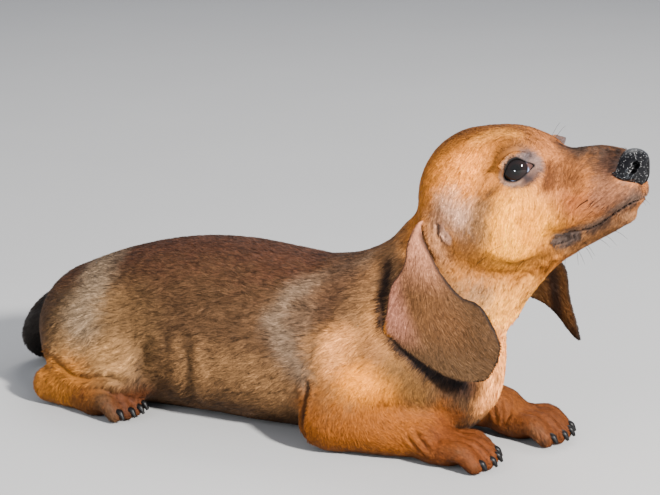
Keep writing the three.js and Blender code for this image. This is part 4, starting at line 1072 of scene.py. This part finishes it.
a, b, c = (where[corners[:, n]] for n in range(3))
middle = (a + b + c) / 3
region = region_of(middle, on_ear(middle))
weight = np.linalg.norm(np.cross(b - a, c - a), axis=1) / 2 * DENSITY[region]
weight[is_bare(middle)] = 0
weight /= weight.sum()
chosen = rng.choice(len(middle), BLADES, p=weight)
u, v = rng.random((2, BLADES))
fold = u + v > 1
u[fold], v[fold] = 1 - u[fold], 1 - v[fold]
share = np.stack([1 - u - v, u, v], 1)[:, :, None]
root = (where[corners[chosen]] * share).sum(1)
normal = unit((normals[corners[chosen]] * share).sum(1))
patch = (unwrap[chosen] * share).sum(1)
region = region[chosen]
along = lie(root, normal, region == EAR)
side = np.cross(normal, along)
unrest = np.where(np.isin(region, (FACE, EAR)), 0.25, 0.7)
swirl = (lattice(root / 7, 1) - 0.5) * 0.7 + (lattice(root / 2.2, 2) - 0.5) * unrest
swirl += rng.normal(0, 0.1, BLADES)
along = along * np.cos(swirl)[:, None] + side * np.sin(swirl)[:, None]
side = np.cross(normal, along)

# Body fur shortens towards the head and the legs.
near_head = (1 - ramp(np.linalg.norm(root - SKULL, axis=1), 40, 85)) * (region == BODY)
both_sides = root * (1, 0, 1) + (0, 1, 0) * np.abs(root)
to_leg = path_distance(both_sides, [(38, 34, 40), (12, 37, 17), (60, 29, 13)])
near_leg = (1 - ramp(to_leg, 12, 36)) * (region == BODY)


def by_region(values):
    return mix(mix(values[region], values[FACE], near_head), values[LEG], near_leg)


length = by_region(LENGTH) * (0.7 + 0.6 * rng.random(BLADES))
for name, hand in SIDES.items():
    pick = np.flatnonzero((region == EAR) & (root[:, 1] * hand > 0))
    length[pick] *= 0.3 + 0.7 * ramp(-rim_distance(EAR_RIM[name], root[pick, 0], root[pick, 2]), 0, 5)
for hand in SIDES.values():
    from_eye = np.linalg.norm(root - eye_centre(hand), axis=1)
    length *= 0.4 + 0.6 * ramp(from_eye, EYE_RADIUS + 1, EYE_RADIUS + 6)
broad = by_region(BREADTH) * (0.7 + 0.6 * rng.random(BLADES))
lift = by_region(STAND) * (0.5 + rng.random(BLADES)) * (0.6 + 0.8 * lattice(root / 2.2, 3))
roll = rng.normal(0, 0.25, BLADES)
across = side * np.cos(roll)[:, None] + normal * np.sin(roll)[:, None]
grain = np.zeros(BLADES)
for number, (long, cell) in enumerate(zip(STREAK_LENGTH, STREAK_BREADTH)):
    pick = np.flatnonzero(region == number)
    fine = streaks(root[pick], along[pick], long, cell, 4)
    grain[pick] = 0.7 * fine + 0.3 * streaks(root[pick], along[pick], 3 * long, 2.6 * cell, 9)
under = markings(root, normal, region == EAR)
shade = np.maximum(1 + by_region(CONTRAST) * (grain - 0.5) + rng.normal(0, 0.14, BLADES), 0.15)
root_colour, tip_colour = (np.clip(under * (shade * bright)[:, None], 0, 1) for bright in (0.85, 1.05))
mid_colour = mix(root_colour, tip_colour, 0.5)
turn, rise = rng.normal(0, 0.3, BLADES), rng.normal(0.12, 0.15, BLADES)
shading = unit(normal + across * turn[:, None] + along * rise[:, None])

# A blade: two points under the skin, two at its middle and its tip
MIDDLE, SUNK, MIDDLE_HALF = 0.55, 0.15, 0.42
mid = root + along * (length * MIDDLE)[:, None] + normal * (lift * MIDDLE)[:, None]
low_half, mid_half = across * (broad / 2)[:, None], across * (broad * MIDDLE_HALF)[:, None]
blade = np.stack([
    root - low_half - normal * SUNK, root + low_half - normal * SUNK, mid - mid_half, mid + mid_half,
    root + along * length[:, None] + normal * lift[:, None],
], 1)
blade[:, :, 2] = np.maximum(blade[:, :, 2], BLADE_GAP)
blade_colour = np.stack([root_colour, root_colour, mid_colour, mid_colour, tip_colour], 1)
BLADE_FACES = np.array([(0, 3, 1), (0, 2, 3), (2, 4, 3)])
PATCH = 0.003  # across, on the unwrap
PATCH_CORNERS = np.array([(-0.5, -0.5), (0.5, -0.5), (-0.4, 0.1), (0.4, 0.1), (0, 0.5)]) * PATCH


def coat_piece(name, pick, slot, look):
    count = np.arange(len(pick))[:, None, None]
    faces = (BLADE_FACES[None] + blade.shape[1] * count).reshape(-1, 3)
    piece = mesh_object(name, blade[pick].reshape(-1, 3), faces)
    paint(piece.data, blade_colour[pick].reshape(-1, 3))
    uv = piece.data.uv_layers.new(name="OFBake")
    flat = np.clip(patch[pick][:, None] + PATCH_CORNERS[None], 0, 1).reshape(-1, 2)
    uv.data.foreach_set("uv", flat[faces.ravel()].ravel().astype(np.float32))
    lit = np.repeat(shading[pick], blade.shape[1], axis=0)
    piece.data.normals_split_custom_set_from_vertices(lit.astype(np.float32))
    piece.data.materials.append(look)
    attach(piece, "root")


for number, name in enumerate(COAT):
    pick = np.flatnonzero(region == number)
    pick = pick[np.argsort(root[pick, 0], kind="stable")]
    look = painted(name + "_blades", 0.65, Specular_IOR_Level=0.08)
    parts = max(1, math.ceil(len(pick) / MOST_BLADES))
    for k, chunk in enumerate(np.array_split(pick, parts)):
        coat_piece(f"{name}_{k + 1}", chunk, name, look)

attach(skin, "root")
claw_nodes = [f"claw_{end}_{name}_{k}" for end in ("fore", "hind") for name in SIDES for k in (1, 2, 3, 4)]
flesh = ["head", "lower_jaw", "neck", "torso", "tail"] + [
    f"{part}_{name}" for part in ("ear", "foreleg", "forepaw", "hindleg", "hindpaw") for name in SIDES
]
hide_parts(*flesh)


def circle(turns, first, second):
    """Directions round a circle through two directions."""
    phi = (np.arange(turns) / turns * 2 * math.pi)[:, None]
    return np.cos(phi) * first + np.sin(phi) * second


def closed(rings, start, end):
    """Points and triangles of a closed surface, from a point through rings to a point."""
    count, turns = rings.shape[:2]
    pts = np.concatenate([rings.reshape(-1, 3), [start, end]])
    k = np.arange(turns)
    after = (k + 1) % turns
    first, last = np.full(turns, len(pts) - 2), np.full(turns, len(pts) - 1)
    base = (count - 1) * turns
    tris = [np.stack(fan, 1) for fan in ((first, after, k), (last, base + k, base + after))]
    for low in range(0, base, turns):
        a, b = low + k, low + after
        tris += [np.stack([a, b, b + turns], 1), np.stack([a, b + turns, a + turns], 1)]
    return pts, np.concatenate(tris)


# Eyes
GAZE = np.array([-1.0, 9.2, 1.1])  # forward, out and up in the eye's frame
EYE_RINGS, EYE_TURNS = 48, 64
CORNEA = 0.5, 0.62  # how far it stands out, and its half width in radians


def eye_piece(name, side):
    at, centre = eye_frame(side), eye_centre(side)
    out = unit(np.array(at)[:3, :3] @ GAZE)
    first = unit(np.cross(out, (0, 0, 1)))
    round_eye = circle(EYE_TURNS, first, np.cross(first, out))
    angle = np.linspace(0, math.pi, EYE_RINGS + 1)[:, None, None]
    radius = EYE_RADIUS + CORNEA[0] * np.exp(-((angle / CORNEA[1]) ** 4))
    rings = centre + radius * (np.cos(angle) * out + np.sin(angle) * round_eye)
    pts, tris = closed(rings[1:-1], rings[0, 0], rings[-1, 0])
    piece = mesh_object(name, pts, tris)
    from_axis = np.arccos(np.clip(unit(pts - centre) @ out, -1, 1))
    forward, _, high = brought_back(pts, at).T
    colour = tinted(seen("120e0f"), "231918", ramp(from_axis, 0.22, 0.40))  # the pupil and the iris
    colour = tinted(colour, tone("0b0708"), ramp(from_axis, 0.56, 0.66))
    # the white of the eye at the front, and along the bottom a painted wet reflection
    white = ramp(from_axis, 0.69, 0.72) * (1 - ramp(from_axis, 0.75, 0.8))
    colour = tinted(colour, "c4cbd8", white)
    colour = tinted(colour, "6a4f49", ramp(from_axis, 0.76, 0.82))
    colour = tinted(colour, "6b4d46", ramp(forward, 4.4, 5.0))  # the inner corner
    # painted shade of the lids over the rear and top of the eye
    colour = tinted(colour, "171112", np.maximum(ramp(-forward, 3.6, 5.0), ramp(high, 3.6, 4.6)))
    paint(piece.data, colour)
    made, tree, shader = material(
        "eye_wet", roughness=0.4, Specular_IOR_Level=0.0, Coat_Weight=0.6, Coat_Roughness=0.03, Coat_IOR=1.38)
    wire(tree, shader, {"Base Color": marked(tree)})
    piece.data.materials.append(made)
    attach(piece, "root")
    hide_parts(f"eye_{name.split('_')[1]}")


for name, side in SIDES.items():
    eye_piece(f"eyeball_{name}", side)

# Nose: the rims and holes of its near half, and the cleft
NOSE_RIMS = [
    ([(77.6, 6.4, 25.4, 0.8), (78, 7.4, 21.8, 1.0), (77, 8.6, 17.6, 1.0)], 1.6),
    ([(75.4, 8.6, 17, 0.9), (72.4, 9.4, 17.4, 1.0), (68, 9.6, 18.8, 0.8)], 1),
]
NOSTRIL = [
    ([(80, 9.6, 24, 1.7), (76.6, 4.8, 22.4, 1.7)], 0.6),
    ([(79, 10.6, 21.6, 1.5), (75.4, 6, 20.2, 1.5)], 0.6),
    ([(77, 9.8, 20.4, 1.2), (74.6, 10.6, 19, 0.7), (71.5, 10.6, 18.6, 0.45)], 0.4),
]
CLEFT = [(81.6, 0, 23.4, 0.7), (80.9, 0, 20.4, 1.2), (80.6, 0, 15.4, 1), (78.3, 0, 10, 1)]
PEBBLE_SCALE = 1050  # cells per metre


def nose_piece():
    clay = Clay(axis((134, 166, 0.4)), axis((-15, 15, 0.4)), axis((130, 162, 0.4)))
    for form in NOSE:
        clay.add(Moved(form, HEAD), 3)
    for side in SIDES.values():
        for press, forms in ((clay.add, NOSE_RIMS), (clay.carve, NOSTRIL)):
            for rows, blend in forms:
                press(limb(rows, side, HEAD), blend)
    clay.carve(limb(CLEFT, at=HEAD), 0.8)
    pts, tris = clay.surface()
    piece = mesh_object("nose_leather", smoothed(pts, tris), tris)
    made, tree, shader = material("nose_leather", roughness=0.3, Specular_IOR_Level=0.13)
    where = node(tree, "TexCoord").outputs["Object"]
    pebbles = node(tree, "TexVoronoi", Vector=where, Scale=PEBBLE_SCALE).outputs["Distance"]
    bump = node(tree, "Bump", [("invert", True)], Strength=0.6, Distance=0.0003, Height=pebbles)
    # painted highlights: pale specks on the pebbles stand in for their glints
    painted_glints = node(tree, "ValToRGB", Fac=pebbles)
    pale, dark = painted_glints.color_ramp.elements
    pale.position, pale.color = 0.07, (0.3, 0.3, 0.3, 1)
    dark.position, dark.color = 0.2, (0.002, 0.002, 0.0025, 1)
    wire(tree, shader, {"Base Color": painted_glints.outputs["Color"], "Normal": bump.outputs["Normal"]})
    piece.data.materials.append(made)
    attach(piece, "root")
    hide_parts("nose")


nose_piece()


# Claws and whiskers: tapered tubes
def tube(stops, turns, steps):
    rows = smooth_rows(stops, steps)
    tangent = unit(np.gradient(rows[:, :3], axis=0))
    first = unit(np.cross(tangent, (0.3, 1, 0.1)))
    second = np.cross(tangent, first)
    rings = rows[:, None, :3] + rows[:, None, 3:4] * circle(turns, first[:, None], second[:, None])
    return closed(rings, rows[0, :3], rows[-1, :3])


def joined(parts):
    offset, pts, tris = 0, [], []
    for p, t in parts:
        pts.append(p)
        tris.append(t + offset)
        offset += len(p)
    return np.concatenate(pts), np.concatenate(tris)


# Whiskers in the head's frame: the root, the tip and the radius at the root
WHISKERS = [
    ((57, 15.2, 6.8), (51.8, 18, 2.2), 0.24), ((59.8, 14.7, 6.4), (58.2, 17.2, 3.2), 0.22),
    ((63, 12.6, 7), (59, 18, 3.4), 0.1), ((65, 11.6, 4.4), (62, 17, 0), 0.1),
    ((54, 14.6, 3.2), (47, 18.5, -1), 0.1), ((60, 13, 2.2), (55, 18.6, -3), 0.1),
    ((67, 9.6, 6.4), (66, 15, 2), 0.09), ((69, 8, 3), (69, 13, -2), 0.09),
    ((11, 26, -20.2), (4.6, 29.6, -26), 0.14), ((26.5, 18.4, -22), (21.6, 22.4, -30), 0.13),
    ((20, 27, -14), (12, 31, -19), 0.1), ((27, 15, 30.5), (30.5, 17.4, 37), 0.08),
    ((29.5, 13.6, 30), (34.5, 15, 36), 0.08), ((51, 6, -15), (58, 9.5, -20.5), 0.11),
    ((42, 6, -20.5), (42, 8.5, -30), 0.11), ((60, 5, -10.6), (68, 7, -15.5), 0.1),
    ((46, 4, -18), (51, 5, -26), 0.1), ((74, 4, 6.5), (79.5, 6.6, 2), 0.09),
    ((72, 6.5, 5.6), (76, 10.4, 0.6), 0.09),
]


def whisker_parts():
    for side in SIDES.values():
        for start, end, radius in WHISKERS:
            a, b = (from_head((p[0], side * p[1], p[2])) for p in (start, end))
            bend = mix(a, b, 0.55) + (0, 0, 0.08 * np.linalg.norm(b - a))
            yield tube([(*mix(a, b, -0.1), radius), (*bend, radius * 0.75), (*b, 0.03)], 5, 5)


whiskers = mesh_object("whiskers", *joined(whisker_parts()))
whiskers.data.materials.append(material("whisker", tone("120b08"), 0.8, Specular_IOR_Level=0.05)[0])
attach(whiskers, "root")


def claw_parts():
    for at, shape, _ in PAWS:
        for across in PAW_TOES:
            reach, y = toe_line(across, shape["half"], shape["length"])
            tip = reach * 0.93 + shape["toe"] * 0.55
            stops = [
                (tip - 2, y * 1.03, 6.6, CLAW_RADIUS * 0.9), (tip + 1, y * 1.04, 6.4, CLAW_RADIUS * 0.9),
                (tip + CLAW_LENGTH * 0.45, y * 1.05, 5.2, CLAW_RADIUS * 0.7),
                (tip + CLAW_LENGTH * 0.7, y * 1.06, 3.2, 0.7),
            ]
            pts, tris = tube(stops, 14, 6)
            yield np.array([at @ Vector(p) for p in pts]), tris


claws = mesh_object("claws", *joined(claw_parts()))
claws.data.materials.append(material("claw_horn", tone("060505"), 0.45, Specular_IOR_Level=0.15)[0])
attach(claws, "root")
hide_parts(*claw_nodes)


# Stage, light and camera
def direction(azimuth, elevation):
    """From the part towards a place at these angles, in radians."""
    c = math.cos(elevation)
    return Vector((math.sin(azimuth) * c, -math.cos(azimuth) * c, math.sin(elevation)))


back = direction(AZIMUTH, ELEVATION)
right = Vector((math.cos(AZIMUTH), math.sin(AZIMUTH), 0))
up = back.cross(right)
aside = (ANCHOR_PX[0] - WIDTH_PX / 2) * MM_PER_PX / PER_METRE
above = (HEIGHT_PX / 2 - ANCHOR_PX[1]) * MM_PER_PX / PER_METRE
at = Vector(metres(ANCHOR)) + back * (DISTANCE / PER_METRE) - right * aside - up * above
camera = placed("camera", bpy.data.cameras.new("camera"))
camera.matrix_world = Matrix([[right[n], up[n], back[n], at[n]] for n in range(3)] + [[0, 0, 0, 1]])
camera.data.sensor_width = SENSOR
camera.data.lens = FOCAL_PX * SENSOR / WIDTH_PX
camera.data.clip_end = 20
bpy.context.scene.camera = camera

FLOOR_HALF = 4
paper = bpy.data.meshes.new("floor")
sheet = [(x * FLOOR_HALF, y * FLOOR_HALF, 0) for x, y in ((-1, -1), (1, -1), (1, 1), (-1, 1))]
paper.from_pydata(sheet, [], [(0, 1, 2, 3)])
floor = placed("floor", paper)
look, tree, shader = material("floor_paper", (0.27, 0.27, 0.27), 0.9)
grain = node(tree, "TexNoise", Scale=40).outputs["Fac"]
shades = node(tree, "MapRange", To_Min=0.26, To_Max=0.28, Value=grain)
wire(tree, shader, {"Base Color": shades.outputs["Result"]})
floor.data.materials.append(look)

world = bpy.data.worlds.new("studio")
bpy.context.scene.world = world
world.use_nodes = True
wire(world.node_tree, world.node_tree.nodes["Background"], {"Color": (0.86, 0.9, 1, 1), "Strength": 0.9})


def area_light(name, azimuth, elevation, distance, size, watts, colour, aim=(100, 0, 70)):
    lamp = bpy.data.lights.new(name, "AREA")
    lamp.shape = "DISK"
    lamp.size, lamp.energy, lamp.color = size, watts, colour
    body = placed(name, lamp)
    way = direction(math.radians(azimuth), math.radians(elevation))
    body.location = Vector(metres(aim)) + way * distance
    body.rotation_euler = way.to_track_quat("Z", "Y").to_euler()
    return body


area_light("key", 60, 28, 1.6, 0.16, 170, (1, 0.97, 0.93))
fill = area_light("fill", -16, 20, 1.8, 1.4, 29, (0.97, 0.98, 1))
area_light("rim", 200, 50, 1.6, 0.9, 18, (1, 0.98, 0.95))
catchlight = area_light("catchlight", 9, -8.5, 0.8, 0.07, 7, (0.85, 0.92, 1), eye_centre(SIDES["right"]))
catchlight.visible_diffuse = False
fill.visible_glossy = False
